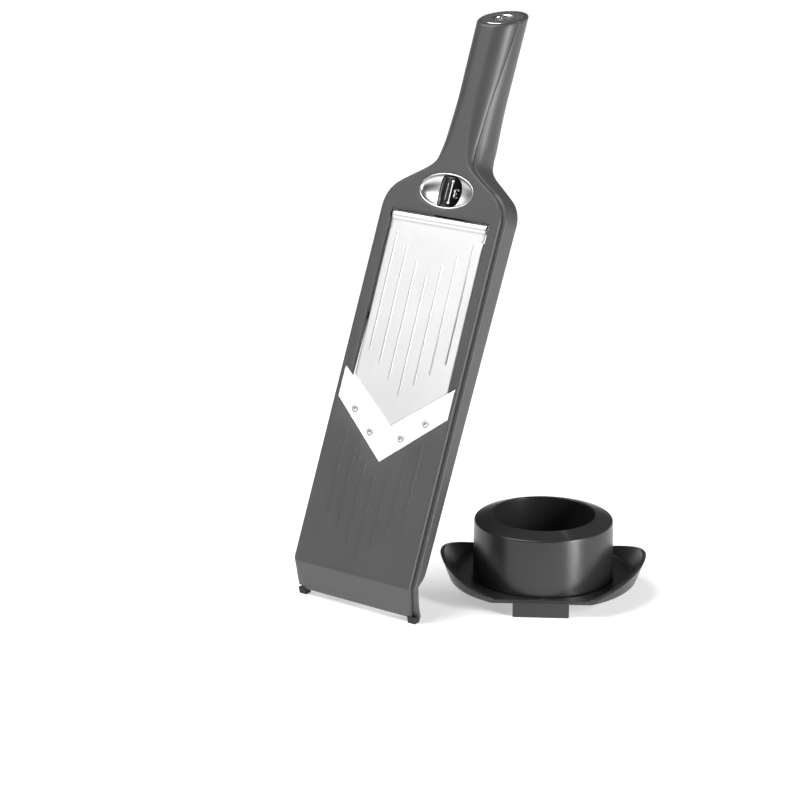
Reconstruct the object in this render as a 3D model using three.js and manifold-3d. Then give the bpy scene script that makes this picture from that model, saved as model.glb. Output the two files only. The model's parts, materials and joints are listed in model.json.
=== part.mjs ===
import * as THREE from "three";
import { mergeVertices } from "three/addons/utils/BufferGeometryUtils.js";
import Module from "manifold-3d";

// A handheld mandoline with a V blade, standing on its feet and leaning back, with its food holder
// on the table beside it. Millimetres, +Z up. The slicer is built in its own frame: x across the
// deck, y from the feet to the handle's end, z out of the deck, and the deck's face at z = 0.
// The holder is built in its own frame too: x to its wings, y to its tabs, z up from the table.

const wasm = await Module();
wasm.setup();
const radians = THREE.MathUtils.degToRad;

// ---- Driving dimensions ----

const gap = 0.3; // between pieces that touch
const runningGap = 0.35; // between pieces that move past each other
const wall = 2.6; // moulded walls

const totalLength = 400; // feet to the middle of the handle's end face
const bodyHalfWidth = 50;
const ledgeWidth = 3; // the step beside the deck that the holder's tabs run on
const frameWidth = 7.5; // deck on each side of the ramp plate
const deckThickness = 2.4;
const bodyDepthAtFeet = 11.5;
const bodyDepthAtNeck = 17.3;
const railThickness = 2.5; // the lower shell's flange under the deck
const railInset = 1.5; // rail's inner edge, back from the deck's opening

const creaseY = 20.8; // where the deck turns down into the apron
const apronEnd = { y: 2.8, z: -13.6 };
const footContactZ = -16.5; // under the deck's face, where y is 0
const footHeight = 4.5;
const footHalfWidth = 2.8;
const footInset = 5.0; // foot's middle, in from the body's side
const postDepth = 7.2; // corner posts, measured inwards from the apron's face

const shoulderY = 262; // where the sides start to round in to the neck
const shoulderRadius = 24;
const neckRadius = 18;
const shoulderTurn = radians(55);

const gripRadius = 16.1;
const gripRadiusAtNeck = 18.4;
const gripRadiusAtEnd = 16.4;
const gripAxisZ = -15.6;
const gripWaistY = 345;
const deckEndY = 305; // the flat of the deck runs this far into the handle
const handleStartY = 296;
const endTilt = radians(30); // end face, from square to the handle
const seamStart = { y: 290, z: -2.4 }; // the shells' seam runs down the handle's side
const seamEndZ = -12;

const vTipY = 118.9; // cutting edge at the middle
const vSlope = 0.757; // cutting edge, rise per millimetre out from the middle
const bladeOuterTipY = 95.9;
const bladeOuterSlope = 0.815;
const bladeThickness = 0.8;
const bladeOverlap = 5.1; // blade on each side frame
const bladeOverhang = 5.0; // cutting edge, past the deck that carries it
const bladeScrews = [
  { x: 12.6, y: 113.8 },
  { x: 28.8, y: 126.6 },
];
const bladeScrewHead = 2.4;
const bladeScrewShank = 1.2;
const bladeScrewLength = 7;
const bladeBoss = { wall: 2, skin: 1.5 }; // post under the deck round each blade screw

const hingeY = shoulderY - 4.2;
const hingeZ = -3.4;
const pinRadius = 1.6;
const pinReach = 3.4; // hinge pin, past the plate's edge at each end
const knuckleRadius = 3.3;
const knuckleShort = 0.8; // knuckle, shorter than the plate at each end
const plateThickness = 0.9;
const plateSideGap = 1.0;
const plateTipGap = 1.6; // plate's V end to the cutting edge
const plateAtHinge = -1.2; // plate's face over the hinge
const flangeDepth = 4.5;
const restCut = 3; // slice thickness that the dial stands at
const mostCut = 9;
const degreesPerMillimetre = 36; // dial turn for a millimetre of slice

const ribCount = 7;
const ribWidth = 1.3;
const ribHeight = 0.5;
const deckRibs = { pitch: 10.25, low: 31, high: 87, lowStep: 8.55, highStep: 8.47 };
const plateRibs = { pitch: 10.3, low: 140.7, high: 222.2, lowStep: 8.8, highStep: 8.4 };

const dialY = 278.3;
const drumRadius = 10.5;
const drumLength = 20.4;
const drumCrown = -1.2;
const drumGap = 0.5;
const springRoom = 2.1; // round the drum, for its click spring
const windowHalf = { x: 20.8, y: 10.9 };
const scoopDepth = 5.4;
const cupThickness = 0.8;
const spindleRadius = 2.2;
const bushWall = 1.4;
const bridge = { y0: 186, y1: 192, top: -9.4 }; // cross member that carries the lower bush
const bridgeDip = { inner: 34, top: -11.3 }; // where the plate's flanges come down beside it
const bearingRib = { y0: 291, y1: 295, pastDrum: 0.5, top: -7 }; // carries the upper bush
const wedgeFloor = 1.4; // spindle's underside to the wedge's underside
const threadLead = 12;
const liftY = 225; // where the wedge carries the plate
const shoeHeight = 2.3;
const shoeHalf = { x: 6, y: 2 };
const wedgeHalfWidth = 8;
const wedgeEnd = 2.5; // wedge past its working length, at each end

const shellScrewYs = [60, 172, 236];
const handleScrewYs = [322, 352];
const shellScrewHead = 2.3;
const shellScrewShank = 1.1;
const handleScrewHead = 2.8;
const handleScrewShank = 1.3;
const handleBoss = { depth: 9, skin: 0.8, wall: 2.4 }; // post round each screw
const handleWellDepth = 5; // screw heads sit this far below the handle's axis
const eyeletRadius = 7.4;
const eyeletFlange = 14.4;
const eyeletWall = 1.0;
const eyeletFace = 1.4;
const eyeletBoss = 26; // solid end of the handle round the eyelet
const eyeletDepth = 60;

// Holder
const ringRadius = 45.8;
const ringFoot = 46.6;
const ringBore = 33.9;
const ringTop = 53.9;
const ringShoulder = 50.2;
const trayUnderside = 9.2;
const trayThickness = 2.5;
const trayFloorRadius = bodyHalfWidth + 11.5;
const wingRadius = bodyHalfWidth + 18.5;
const wingTop = 26.5;
const wingEdgeTop = 13;
const wingLevel = 16; // half width of the wing's level top
const tabHalfWidth = 18.3;
const tabThickness = 2.5;
const tabRunning = 1.1; // tab, out from the deck's edge
const pusherGap = 0.5;
const pusherZ = 19.3;
const pusherThickness = 3.6;
const pusherRim = 3;
const spikeLength = 7;
const spikeRings = [
  { radius: 0, count: 1 },
  { radius: 12, count: 6 },
  { radius: 24, count: 12 },
];

// How the set stands
const lean = radians(23.5); // slicer, back from upright
const holderPlace = { x: 77.7, y: 100.6, turn: radians(33) };

// ---- Derived sizes ----

const deckHalfWidth = bodyHalfWidth - ledgeWidth;
const openingHalfWidth = deckHalfWidth - frameWidth;
const ledgeZ = -deckThickness - gap;
const plateHalfWidth = openingHalfWidth - plateSideGap;
const pinHalf = plateHalfWidth + pinReach;
const bladeHalfWidth = openingHalfWidth + bladeOverlap;
const spindleZ = drumCrown - drumRadius;
const housingWall = wall - 0.4;
const apronLength = Math.hypot(creaseY - apronEnd.y, apronEnd.z);
const apronDown = { y: (apronEnd.y - creaseY) / apronLength, z: apronEnd.z / apronLength };
const leverArm = hingeY - (vTipY + (vSlope * openingHalfWidth) / 2);
const tiltAt = (cut) => (cut + plateAtHinge) / leverArm;
const cutEdgeY = (x) => vTipY + vSlope * Math.abs(x);
const clearOfAll = 200; // a cutting solid's reach past the object

const onSpindle = (y) => [0, y, spindleZ];

// Point on the apron: s down from the crease, d in from its face.
const apronPoint = (s, d) => [
  creaseY + s * apronDown.y - d * apronDown.z,
  s * apronDown.z + d * apronDown.y,
];

// The corner inside the crease, a depth d from the deck's face and from the apron's.
const insideCrease = (d) => apronPoint((-d * (1 + apronDown.y)) / apronDown.z, d);

// ---- Materials ----

const plastic = new THREE.MeshStandardMaterial({ color: 0x4a4a4c, roughness: 0.55, metalness: 0 });
const darkPlastic = new THREE.MeshStandardMaterial({ color: 0x363638, roughness: 0.4, metalness: 0 });
const gloss = new THREE.MeshStandardMaterial({ color: 0x141414, roughness: 0.15, metalness: 0 });
const steel = new THREE.MeshStandardMaterial({ color: 0xc9c9cb, roughness: 0.3, metalness: 1 });
const brass = new THREE.MeshStandardMaterial({ color: 0xb9975b, roughness: 0.35, metalness: 1 });
const rubber = new THREE.MeshStandardMaterial({ color: 0x222222, roughness: 0.8, metalness: 0 });

// ---- Solids from three.js geometry ----

function toSolid(geometry) {
  geometry.deleteAttribute("normal");
  geometry.deleteAttribute("uv");
  const merged = mergeVertices(geometry, 1e-4);
  return new wasm.Manifold(
    new wasm.Mesh({
      numProp: 3,
      vertProperties: merged.attributes.position.array,
      triVerts: new Uint32Array(merged.index.array),
    }),
  );
}

function toMesh(name, solid, material) {
  const made = solid.getMesh();
  const geometry = new THREE.BufferGeometry();
  geometry.setAttribute("position", new THREE.BufferAttribute(made.vertProperties, 3));
  geometry.setIndex(new THREE.BufferAttribute(made.triVerts, 1));
  geometry.computeVertexNormals();
  const mesh = new THREE.Mesh(geometry, material);
  mesh.name = name;
  return mesh;
}

function block(x0, x1, y0, y1, z0, z1) {
  const geometry = new THREE.BoxGeometry(x1 - x0, y1 - y0, z1 - z0);
  return toSolid(geometry.translate((x0 + x1) / 2, (y0 + y1) / 2, (z0 + z1) / 2));
}

// A flat shape in x and y, from z0 up to z1.
function flat(shape, z0, z1, curveSegments = 10) {
  const geometry = new THREE.ExtrudeGeometry(shape, {
    depth: z1 - z0,
    bevelEnabled: false,
    curveSegments,
  });
  return toSolid(geometry.translate(0, 0, z0));
}

// A side view in y and z, from x0 to x1.
function side(points, x0, x1) {
  const shape = new THREE.Shape(points.map(([y, z]) => new THREE.Vector2(y, z)));
  const geometry = new THREE.ExtrudeGeometry(shape, { depth: x1 - x0, bevelEnabled: false });
  const turned = new THREE.Matrix4().makeBasis(
    new THREE.Vector3(0, 1, 0),
    new THREE.Vector3(0, 0, 1),
    new THREE.Vector3(1, 0, 0),
  );
  return toSolid(geometry.applyMatrix4(turned).translate(x0, 0, 0));
}

// An end view in x and z, from y0 to y1.
function end(points, y0, y1) {
  const shape = new THREE.Shape(points.map(([x, z]) => new THREE.Vector2(x, z)));
  const geometry = new THREE.ExtrudeGeometry(shape, { depth: y1 - y0, bevelEnabled: false });
  return toSolid(geometry.rotateX(Math.PI / 2).translate(0, y1, 0));
}

// A round bar from one point to another, which may taper.
function bar(from, to, radiusFrom, radiusTo = radiusFrom, sides = 24) {
  const start = new THREE.Vector3(...from);
  const finish = new THREE.Vector3(...to);
  const along = finish.clone().sub(start);
  const geometry = new THREE.CylinderGeometry(radiusTo, radiusFrom, along.length(), sides);
  const turn = new THREE.Quaternion().setFromUnitVectors(
    new THREE.Vector3(0, 1, 0),
    along.clone().normalize(),
  );
  const middle = start.add(finish).multiplyScalar(0.5);
  return toSolid(geometry.applyQuaternion(turn).translate(middle.x, middle.y, middle.z));
}

// Everything on the far side of a plane through y and z, whose normal is turned from y towards z.
function beyond(y, z, turn) {
  const size = 2 * clearOfAll;
  const geometry = new THREE.BoxGeometry(size, size, size).translate(0, size / 2, 0);
  return toSolid(geometry.rotateX(turn).translate(0, y, z));
}

// A closed profile of [radius, height] turned about z.
function turned(profile, sides = 64) {
  const points = [...profile, profile[0]].map(([r, z]) => new THREE.Vector2(r, z));
  return toSolid(new THREE.LatheGeometry(points, sides).rotateX(Math.PI / 2));
}

const polygon = (points) => new THREE.Shape(points.map(([x, y]) => new THREE.Vector2(x, y)));
const ellipse = (x, y, halfX, halfY) =>
  new THREE.Shape().absellipse(x, y, halfX, halfY, 0, 2 * Math.PI, false, 0);
const joined = (solids) => solids.reduce((sum, solid) => sum.add(solid));

// ---- The slicer's outline ----

// The body's outline seen from the front, drawn in from the real edge by an inset.
function outline(inset, bottomY) {
  const half = bodyHalfWidth - inset;
  const shoulder = shoulderRadius - inset;
  const neck = neckRadius + inset;
  const grip = gripRadius - inset;
  const shoulderX = half - shoulder;
  const neckX = grip + neck;
  const cos = Math.cos(shoulderTurn);
  const sin = Math.sin(shoulderTurn);
  const run = (shoulderX + shoulder * cos - neckX + neck * cos) / sin;
  const neckY = shoulderY + shoulder * sin + run * cos + neck * sin;
  const topY = totalLength + gripRadiusAtEnd;
  return new THREE.Shape()
    .moveTo(-half, bottomY)
    .lineTo(half, bottomY)
    .lineTo(half, shoulderY)
    .absarc(shoulderX, shoulderY, shoulder, 0, shoulderTurn, false)
    .absarc(neckX, neckY, neck, Math.PI + shoulderTurn, Math.PI, true)
    .lineTo(grip, topY)
    .lineTo(-grip, topY)
    .absarc(-neckX, neckY, neck, 0, -shoulderTurn, true)
    .absarc(-shoulderX, shoulderY, shoulder, Math.PI - shoulderTurn, Math.PI, false)
    .lineTo(-half, bottomY);
}

// The handle: a round bar, a little thicker at both ends, thinned by an inset.
function grip(inset) {
  const neckY = shoulderY + 36;
  const foot = [0, neckY, gripAxisZ];
  const waist = [0, gripWaistY, gripAxisZ];
  const tip = [0, totalLength + gripRadius, gripAxisZ];
  return bar(foot, waist, gripRadiusAtNeck - inset, gripRadius - inset, 48).add(
    bar(waist, tip, gripRadius - inset, gripRadiusAtEnd - inset, 48),
  );
}

// The half round hump under the neck that holds the dial's drum.
const drumHousing = (inset) => {
  const radius = drumRadius + springRoom + housingWall - inset;
  return bar(
    [0, shoulderY + inset, spindleZ - 1],
    [0, shoulderY + 38, spindleZ - 3.1],
    radius,
    radius,
    48,
  );
};

// Everything past the handle's tilted end face, with the face moved in by an inset.
const endNormal = { y: Math.cos(endTilt), z: Math.sin(endTilt) };
const pastEnd = (inset) =>
  beyond(totalLength - inset * endNormal.y, gripAxisZ - inset * endNormal.z, endTilt);

// The space above the seam between the shells, lowered by a drop.
function aboveSeam(drop) {
  return side(
    [
      [-clearOfAll, seamStart.z - drop],
      [seamStart.y, seamStart.z - drop],
      [totalLength, seamEndZ - drop],
      [totalLength + clearOfAll, seamEndZ - drop],
      [totalLength + clearOfAll, clearOfAll],
      [-clearOfAll, clearOfAll],
    ],
    -clearOfAll,
    clearOfAll,
  );
}

// A point inside the handle's end, a distance in from the end face along the hanging hole.
const inEyelet = (distance) => [
  0,
  totalLength - distance * endNormal.y,
  gripAxisZ - distance * endNormal.z,
];
const eyeletBore = (radius) =>
  bar(inEyelet(-eyeletFlange), inEyelet(eyeletDepth), radius, radius, 32);
const eyeletSeat = (radius, from, to) => bar(inEyelet(from), inEyelet(to), radius, radius, 40);

// ---- Shapes shared by the deck, the blade and the plate ----

function bladeShape(extra) {
  const half = bladeHalfWidth + extra;
  const innerRise = vSlope * half;
  return polygon([
    [-half, vTipY + innerRise + extra],
    [-half, bladeOuterTipY + bladeOuterSlope * half - extra],
    [0, bladeOuterTipY - extra],
    [half, bladeOuterTipY + bladeOuterSlope * half - extra],
    [half, vTipY + innerRise + extra],
    [0, vTipY + extra],
  ]);
}

function ribs({ pitch, low, high, lowStep, highStep }, base, top) {
  const middle = (ribCount - 1) / 2;
  return Array.from({ length: ribCount }, (_, i) => {
    const x = (i - middle) * pitch;
    const out = Math.abs(i - middle);
    return block(
      x - ribWidth / 2,
      x + ribWidth / 2,
      low + lowStep * out,
      high + highStep * out,
      base,
      top,
    );
  });
}

const openingTop = hingeY + knuckleRadius + 0.6;
const opening = polygon([
  [-openingHalfWidth, openingTop],
  [-openingHalfWidth, cutEdgeY(openingHalfWidth) - bladeOverhang],
  [0, vTipY - bladeOverhang],
  [openingHalfWidth, cutEdgeY(openingHalfWidth) - bladeOverhang],
  [openingHalfWidth, openingTop],
]);

const bothSides = (places) =>
  places.flatMap(({ x, y }) => [
    { x: -x, y, label: "left" },
    { x, y, label: "right" },
  ]);
const footPlaces = [-bodyHalfWidth + footInset, bodyHalfWidth - footInset];
const bladeScrewPlaces = bothSides(bladeScrews);
const railMiddle = (openingHalfWidth + railInset + bodyHalfWidth - wall) / 2;
const shellScrewPlaces = bothSides(shellScrewYs.map((y) => ({ x: railMiddle, y })));

// ---- Upper shell: deck, apron and the handle's front ----

function upperShell() {
  const deck = flat(outline(ledgeWidth, creaseY), -deckThickness, 0).subtract(
    block(-clearOfAll, clearOfAll, deckEndY, totalLength * 2, -clearOfAll, clearOfAll),
  );
  const apron = side(
    [
      [creaseY, 0],
      apronPoint(apronLength, 0),
      apronPoint(apronLength, deckThickness),
      insideCrease(deckThickness),
      [creaseY + deckThickness, 0],
    ],
    -deckHalfWidth,
    deckHalfWidth,
  );
  const handle = grip(0)
    .subtract(grip(wall))
    .add(grip(0).intersect(eyeletSeat(gripRadius * 2, -eyeletFlange, eyeletBoss)))
    .intersect(aboveSeam(0))
    .intersect(block(-clearOfAll, clearOfAll, 0, totalLength * 2, -clearOfAll, 0))
    .subtract(block(-clearOfAll, clearOfAll, 0, handleStartY, -clearOfAll, clearOfAll));
  const bladeBosses = bladeScrewPlaces.map(({ x, y }) =>
    bar([x, y, -bladeScrewLength - bladeBoss.skin], [x, y, -deckThickness / 2],
      bladeScrewShank + bladeBoss.wall),
  );
  const handleBosses = handleScrewYs.map((y) =>
    bar([0, y, -handleBoss.depth], [0, y, -handleBoss.skin], handleScrewShank + handleBoss.wall)
      .intersect(aboveSeam(0)),
  );
  const holes = [
    flat(opening, -clearOfAll, clearOfAll),
    flat(bladeShape(gap), -bladeThickness - gap, clearOfAll),
    flat(
      ellipse(0, dialY, windowHalf.x + cupThickness + gap, windowHalf.y + cupThickness + gap),
      -clearOfAll, clearOfAll, 48),
    ...bladeScrewPlaces.map(({ x, y }) =>
      bar([x, y, -bladeScrewLength - 0.5], [x, y, 1], bladeScrewShank + gap)),
    ...shellScrewPlaces.map(({ x, y }) =>
      bar([x, y, -clearOfAll], [x, y, -deckThickness + 1.4], shellScrewShank + gap)),
    ...handleScrewYs.map((y) =>
      bar([0, y, -clearOfAll], [0, y, -2 * handleBoss.skin - 1], handleScrewShank + gap)),
    block(-pinHalf - wall, pinHalf + wall, hingeY - pinRadius - gap, hingeY + pinRadius + gap,
      -clearOfAll, hingeZ + pinRadius + 2 * gap),
    ...footPlaces.map((x) => {
      const inner = x - Math.sign(x) * (footHalfWidth + gap);
      const outer = Math.sign(x) * clearOfAll;
      return underHeight(footHeight + gap).intersect(
        block(Math.min(inner, outer), Math.max(inner, outer), -60, 60, -60, 1),
      );
    }),
    pastEnd(0),
    eyeletBore(eyeletRadius + eyeletWall + gap),
    eyeletSeat(eyeletFlange + gap, -eyeletFlange, eyeletFace + gap),
  ];
  return holes.reduce(
    (solid, hole) => solid.subtract(hole),
    joined([deck, apron, handle, ...bladeBosses, ...handleBosses,
      ...ribs(deckRibs, -deckThickness / 2, ribHeight)]),
  );
}

// ---- Lower shell: sides with their ledges, corner posts, spine, neck tub and the handle's back ----

function lowerShell() {
  const under = (y) =>
    -bodyDepthAtFeet -
    ((bodyDepthAtNeck - bodyDepthAtFeet) * (y - creaseY)) / (shoulderY - creaseY);
  const backLine = (inset) => [
    [creaseY + 7, under(creaseY) + inset],
    [shoulderY, under(shoulderY) + inset],
    [shoulderY + 18, under(shoulderY) - 3 + inset],
    [shoulderY + 34, gripAxisZ - 9 + inset],
    [totalLength * 2, gripAxisZ - 9 + inset],
  ];
  const profile = side(
    [
      [totalLength * 2, 0],
      [insideCrease(deckThickness + gap)[0], 0],
      insideCrease(deckThickness + gap),
      apronPoint(apronLength * 2, deckThickness + gap),
      apronPoint(apronLength * 2, postDepth),
      ...backLine(0),
    ],
    -clearOfAll,
    clearOfAll,
  );
  const body = flat(outline(0, -40), -60, 0)
    .intersect(profile)
    .subtract(block(-clearOfAll, clearOfAll, deckEndY, totalLength * 2, -clearOfAll, 0));
  const chute = openingHalfWidth + railInset;
  const underRail = bodyHalfWidth - wall;
  const railBottom = ledgeZ - railThickness;
  const neckTub = flat(outline(wall, creaseY), -60, 0)
    .intersect(side([[totalLength * 2, 1], [creaseY, 1], ...backLine(wall)], -clearOfAll, clearOfAll))
    .intersect(block(-clearOfAll, clearOfAll, shoulderY + wall, totalLength * 2, -60, 1));
  const hollow = joined([
    block(-chute, chute, -40, bridge.y0, -60, 1),
    block(-underRail, underRail, creaseY + 10, bridge.y0, -60, railBottom),
    block(-chute, chute, bridge.y1, shoulderY, -60, 1),
    block(-underRail, underRail, bridge.y1, shoulderY, -60, railBottom),
    block(-chute, chute, bridge.y0 - 1, bridge.y1 + 1, bridge.top, 1),
    block(-chute, -bridgeDip.inner, bridge.y0 - 1, bridge.y1 + 1, bridgeDip.top, 1),
    block(bridgeDip.inner, chute, bridge.y0 - 1, bridge.y1 + 1, bridgeDip.top, 1),
    neckTub,
  ]);
  const wedgeUnder = spindleZ - spindleRadius - wedgeFloor;
  const spine = block(
    -wedgeHalfWidth - wall,
    wedgeHalfWidth + wall,
    bridge.y0,
    shoulderY + wall,
    wedgeUnder - wall,
    bridge.top,
  );
  const spineGroove = block(
    -wedgeHalfWidth - runningGap,
    wedgeHalfWidth + runningGap,
    bridge.y1,
    shoulderY,
    wedgeUnder - gap,
    1,
  );
  const handle = grip(0)
    .subtract(grip(wall))
    .add(grip(0).intersect(eyeletSeat(gripRadius * 2, -eyeletFlange, eyeletBoss)));
  const drumRoom = drumHousing(housingWall);
  const housing = drumHousing(0).subtract(drumRoom).subtract(neckTub);
  const { top } = bearingRib;
  const half = drumRadius + bearingRib.pastDrum;
  const bearing = block(-half, half, bearingRib.y0, bearingRib.y1, spindleZ - half, top);
  const screwBosses = handleScrewYs.map((y) =>
    bar([0, y, gripAxisZ - gripRadius + 1], [0, y, 0], handleScrewHead + 1.6)
      .intersect(grip(1)));
  const bushSeat = spindleRadius + gap + bushWall + gap;
  const holes = [
    bar(onSpindle(bridge.y0 - 1), onSpindle(bridge.y1 + 1), bushSeat),
    bar(onSpindle(shoulderY - 1), onSpindle(shoulderY + wall + 1), spindleRadius + 1),
    bar(onSpindle(bearingRib.y0 - 1), onSpindle(bearingRib.y1 + 1), bushSeat),
    bar([-pinHalf - gap, hingeY, hingeZ], [pinHalf + gap, hingeY, hingeZ], pinRadius + gap),
    block(-plateHalfWidth - 1, plateHalfWidth + 1, shoulderY - 10, shoulderY + 0.6, -9, 1),
    ...shellScrewPlaces.map(({ x, y }) =>
      bar([x, y, railBottom - 1], [x, y, 1], shellScrewShank + gap)),
    ...handleScrewYs.flatMap((y) => [
      bar([0, y, -60], [0, y, 0], handleScrewShank + gap),
      bar([0, y, -60], [0, y, gripAxisZ - handleWellDepth], handleScrewHead + gap),
    ]),
    pastEnd(0),
    eyeletBore(eyeletRadius + eyeletWall + gap),
    eyeletSeat(eyeletFlange + gap, -eyeletFlange, eyeletFace + gap),
    aboveSeam(gap),
    underHeight(footHeight + gap),
  ];
  const solid = joined([
    body.subtract(hollow).subtract(drumRoom),
    housing,
    spine.subtract(spineGroove),
    handle,
    bearing,
    ...screwBosses,
  ]);
  return holes.reduce((left, hole) => left.subtract(hole), solid);
}

// Everything lower than a height over the table, when the slicer stands leaning back.
function underHeight(height) {
  const y = height * Math.cos(lean);
  const z = footContactZ + height * Math.sin(lean);
  return beyond(y, z, lean + Math.PI);
}

// ---- Feet: rubber pads whose undersides lie flat on the table ----

function foot(x) {
  const up = { y: Math.cos(lean), z: Math.sin(lean) };
  const pad = [
    [0, 1.6],
    [0, -3.6],
    [footHeight, -5.2],
    [footHeight, 2.4],
  ].map(([rise, out]) => [
    rise * up.y - out * up.z,
    footContactZ + rise * up.z + out * up.y,
  ]);
  return side(pad, x - footHalfWidth, x + footHalfWidth);
}

// ---- Blade and its screws ----

const vBlade = () =>
  bladeScrewPlaces.reduce(
    (solid, { x, y }) =>
      solid.subtract(bar([x, y, -clearOfAll], [x, y, clearOfAll], bladeScrewHead + gap)),
    flat(bladeShape(0), -bladeThickness, 0),
  );

const bladeScrew = ({ x, y }) =>
  bar([x, y, -bladeThickness], [x, y, 0.1], bladeScrewHead).add(
    bar([x, y, -bladeScrewLength], [x, y, -bladeThickness / 2], bladeScrewShank, bladeScrewShank, 16),
  );

// ---- Ramp plate, in the hinge's frame: y up the slicer, z out of the plate ----

const plateTop = plateAtHinge - hingeZ;
const plateY = (y) => y - hingeY;

function rampPlate() {
  const sideY = plateY(cutEdgeY(plateHalfWidth) + plateTipGap);
  const topY = -knuckleRadius;
  const sheet = flat(
    polygon([
      [-plateHalfWidth, topY],
      [-plateHalfWidth, sideY],
      [0, plateY(vTipY + plateTipGap)],
      [plateHalfWidth, sideY],
      [plateHalfWidth, topY],
    ]),
    plateTop - plateThickness,
    plateTop,
  );
  const flange = (x0) =>
    block(x0, x0 + plateThickness, sideY + 1, topY - 6, plateTop - flangeDepth, plateTop - 0.1);
  const knuckleHalf = plateHalfWidth - knuckleShort;
  const knuckle = bar([-knuckleHalf, 0, 0], [knuckleHalf, 0, 0], knuckleRadius);
  const neck = block(-knuckleHalf, knuckleHalf, topY - 0.1, -1, plateTop - plateThickness, plateTop - 0.1);
  const pinHole = bar([-clearOfAll, 0, 0], [clearOfAll, 0, 0], pinRadius + gap);
  const inHinge = { ...plateRibs, low: plateY(plateRibs.low), high: plateY(plateRibs.high) };
  return joined([
    sheet,
    flange(-plateHalfWidth),
    flange(plateHalfWidth - plateThickness),
    knuckle,
    neck,
    ...ribs(inHinge, plateTop - plateThickness / 2, plateTop + ribHeight),
  ]).subtract(pinHole);
}

// The shoe under the plate that rides on the wedge.
const liftShoe = () => {
  const y = plateY(liftY);
  const top = plateTop - plateThickness - gap;
  return block(-shoeHalf.x, shoeHalf.x, y - shoeHalf.y, y + shoeHalf.y, top - shoeHeight, top);
};

const hingePin = () => bar([-pinHalf, hingeY, hingeZ], [pinHalf, hingeY, hingeZ], pinRadius);

// ---- Dial, spindle and the wedge that they drive ----

const drumY = [dialY - drumLength / 2, dialY + drumLength / 2];

function dialDrum() {
  const drum = bar(onSpindle(drumY[0]), onSpindle(drumY[1]), drumRadius, drumRadius, 60);
  return drum.subtract(
    bar(onSpindle(drumY[0] - 1), onSpindle(drumY[1] + 1), spindleRadius + gap),
  );
}

function dialSpindle() {
  const threadRadius = spindleRadius;
  const lowEnd = bridge.y0 - 3;
  const highEnd = bearingRib.y1 + 1;
  const clipGroove = bar(onSpindle(lowEnd + 1), onSpindle(lowEnd + 2), threadRadius + 1)
    .subtract(bar(onSpindle(lowEnd), onSpindle(highEnd), threadRadius - 0.6));
  return bar(onSpindle(lowEnd), onSpindle(highEnd), threadRadius).subtract(clipGroove);
}

// The clip's ring sits in the groove near the spindle's lower end.
function spindleClip() {
  const y0 = bridge.y0 - 3 + 1.2;
  const ring = bar(onSpindle(y0), onSpindle(y0 + 0.6), spindleRadius + 1.4);
  return ring
    .subtract(bar(onSpindle(y0 - 1), onSpindle(y0 + 2), spindleRadius - 0.6 + gap / 2))
    .subtract(block(-1.2, 1.2, y0 - 1, y0 + 2, spindleZ - 10, spindleZ));
}

const bush = (y0, y1) =>
  bar(onSpindle(y0), onSpindle(y1), spindleRadius + gap + bushWall).subtract(
    bar(onSpindle(y0 - 1), onSpindle(y1 + 1), spindleRadius + gap),
  );

// The wedge's slope lowers the plate by one millimetre at the cutting edge for each
// millimetre of slice, while the thread carries the wedge towards the neck.
const wedgeStroke = (threadLead * degreesPerMillimetre) / 360;
const wedgeSlope = (hingeY - liftY) / leverArm / wedgeStroke;

function liftWedge() {
  const restTilt = tiltAt(restCut);
  const plateUnder = hingeZ + plateTop - plateThickness - (hingeY - liftY) * Math.tan(restTilt);
  const topAtLift = plateUnder - shoeHeight - 2 * gap;
  const back = liftY - shoeHalf.y - wedgeStroke * (mostCut - restCut);
  const front = liftY + shoeHalf.y + wedgeStroke * restCut;
  const heightAt = (y) => topAtLift + wedgeSlope * (y - liftY - shoeHalf.y);
  const bottom = spindleZ - spindleRadius - wedgeFloor;
  return side(
    [
      [back - wedgeEnd, bottom],
      [front + wedgeEnd, bottom],
      [front + wedgeEnd, heightAt(front)],
      [front, heightAt(front)],
      [back, heightAt(back)],
      [back - wedgeEnd, heightAt(back)],
    ],
    -wedgeHalfWidth,
    wedgeHalfWidth,
  ).subtract(bar(onSpindle(back - 10), onSpindle(front + 10), spindleRadius + gap));
}

// The leaf spring under the drum clicks into the drum's notches.
function detentSpring() {
  const crown = spindleZ - drumRadius - gap;
  const half = 6;
  const drop = 1.3;
  const thickness = 0.5;
  const leafHalfLength = 2.5;
  return end(
    [
      [-half, crown - drop],
      [0, crown],
      [half, crown - drop],
      [half, crown - drop - thickness],
      [0, crown - thickness],
      [-half, crown - drop - thickness],
    ],
    dialY - leafHalfLength,
    dialY + leafHalfLength,
  );
}

// The oval steel cup round the drum gives the finger room to turn it.
function dialCup() {
  const ball = (extra) =>
    toSolid(
      new THREE.SphereGeometry(1, 40, 20)
        .scale(windowHalf.x + extra, windowHalf.y + extra, scoopDepth + extra)
        .translate(0, dialY, -gap),
    );
  const oval = (extra, z0, z1) =>
    flat(ellipse(0, dialY, windowHalf.x + extra, windowHalf.y + extra), z0, z1, 40);
  const rim = oval(cupThickness, -deckThickness, -gap).subtract(oval(0, -clearOfAll, clearOfAll));
  const bowl = ball(cupThickness)
    .intersect(oval(cupThickness, -clearOfAll, -deckThickness / 2))
    .subtract(ball(0));
  const drumRoom = bar(
    onSpindle(drumY[0] - gap),
    onSpindle(drumY[1] + gap),
    drumRadius + drumGap,
    drumRadius + drumGap,
    60,
  );
  return rim.add(bowl).subtract(drumRoom);
}

// ---- Fasteners, eyelet ----

function shellScrew({ x, y }) {
  const under = ledgeZ - railThickness - gap;
  return bar([x, y, under - 1.4], [x, y, under], shellScrewHead, shellScrewHead, 20).add(
    bar([x, y, under - 0.5], [x, y, -deckThickness + 1], shellScrewShank, shellScrewShank, 12),
  );
}

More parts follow.
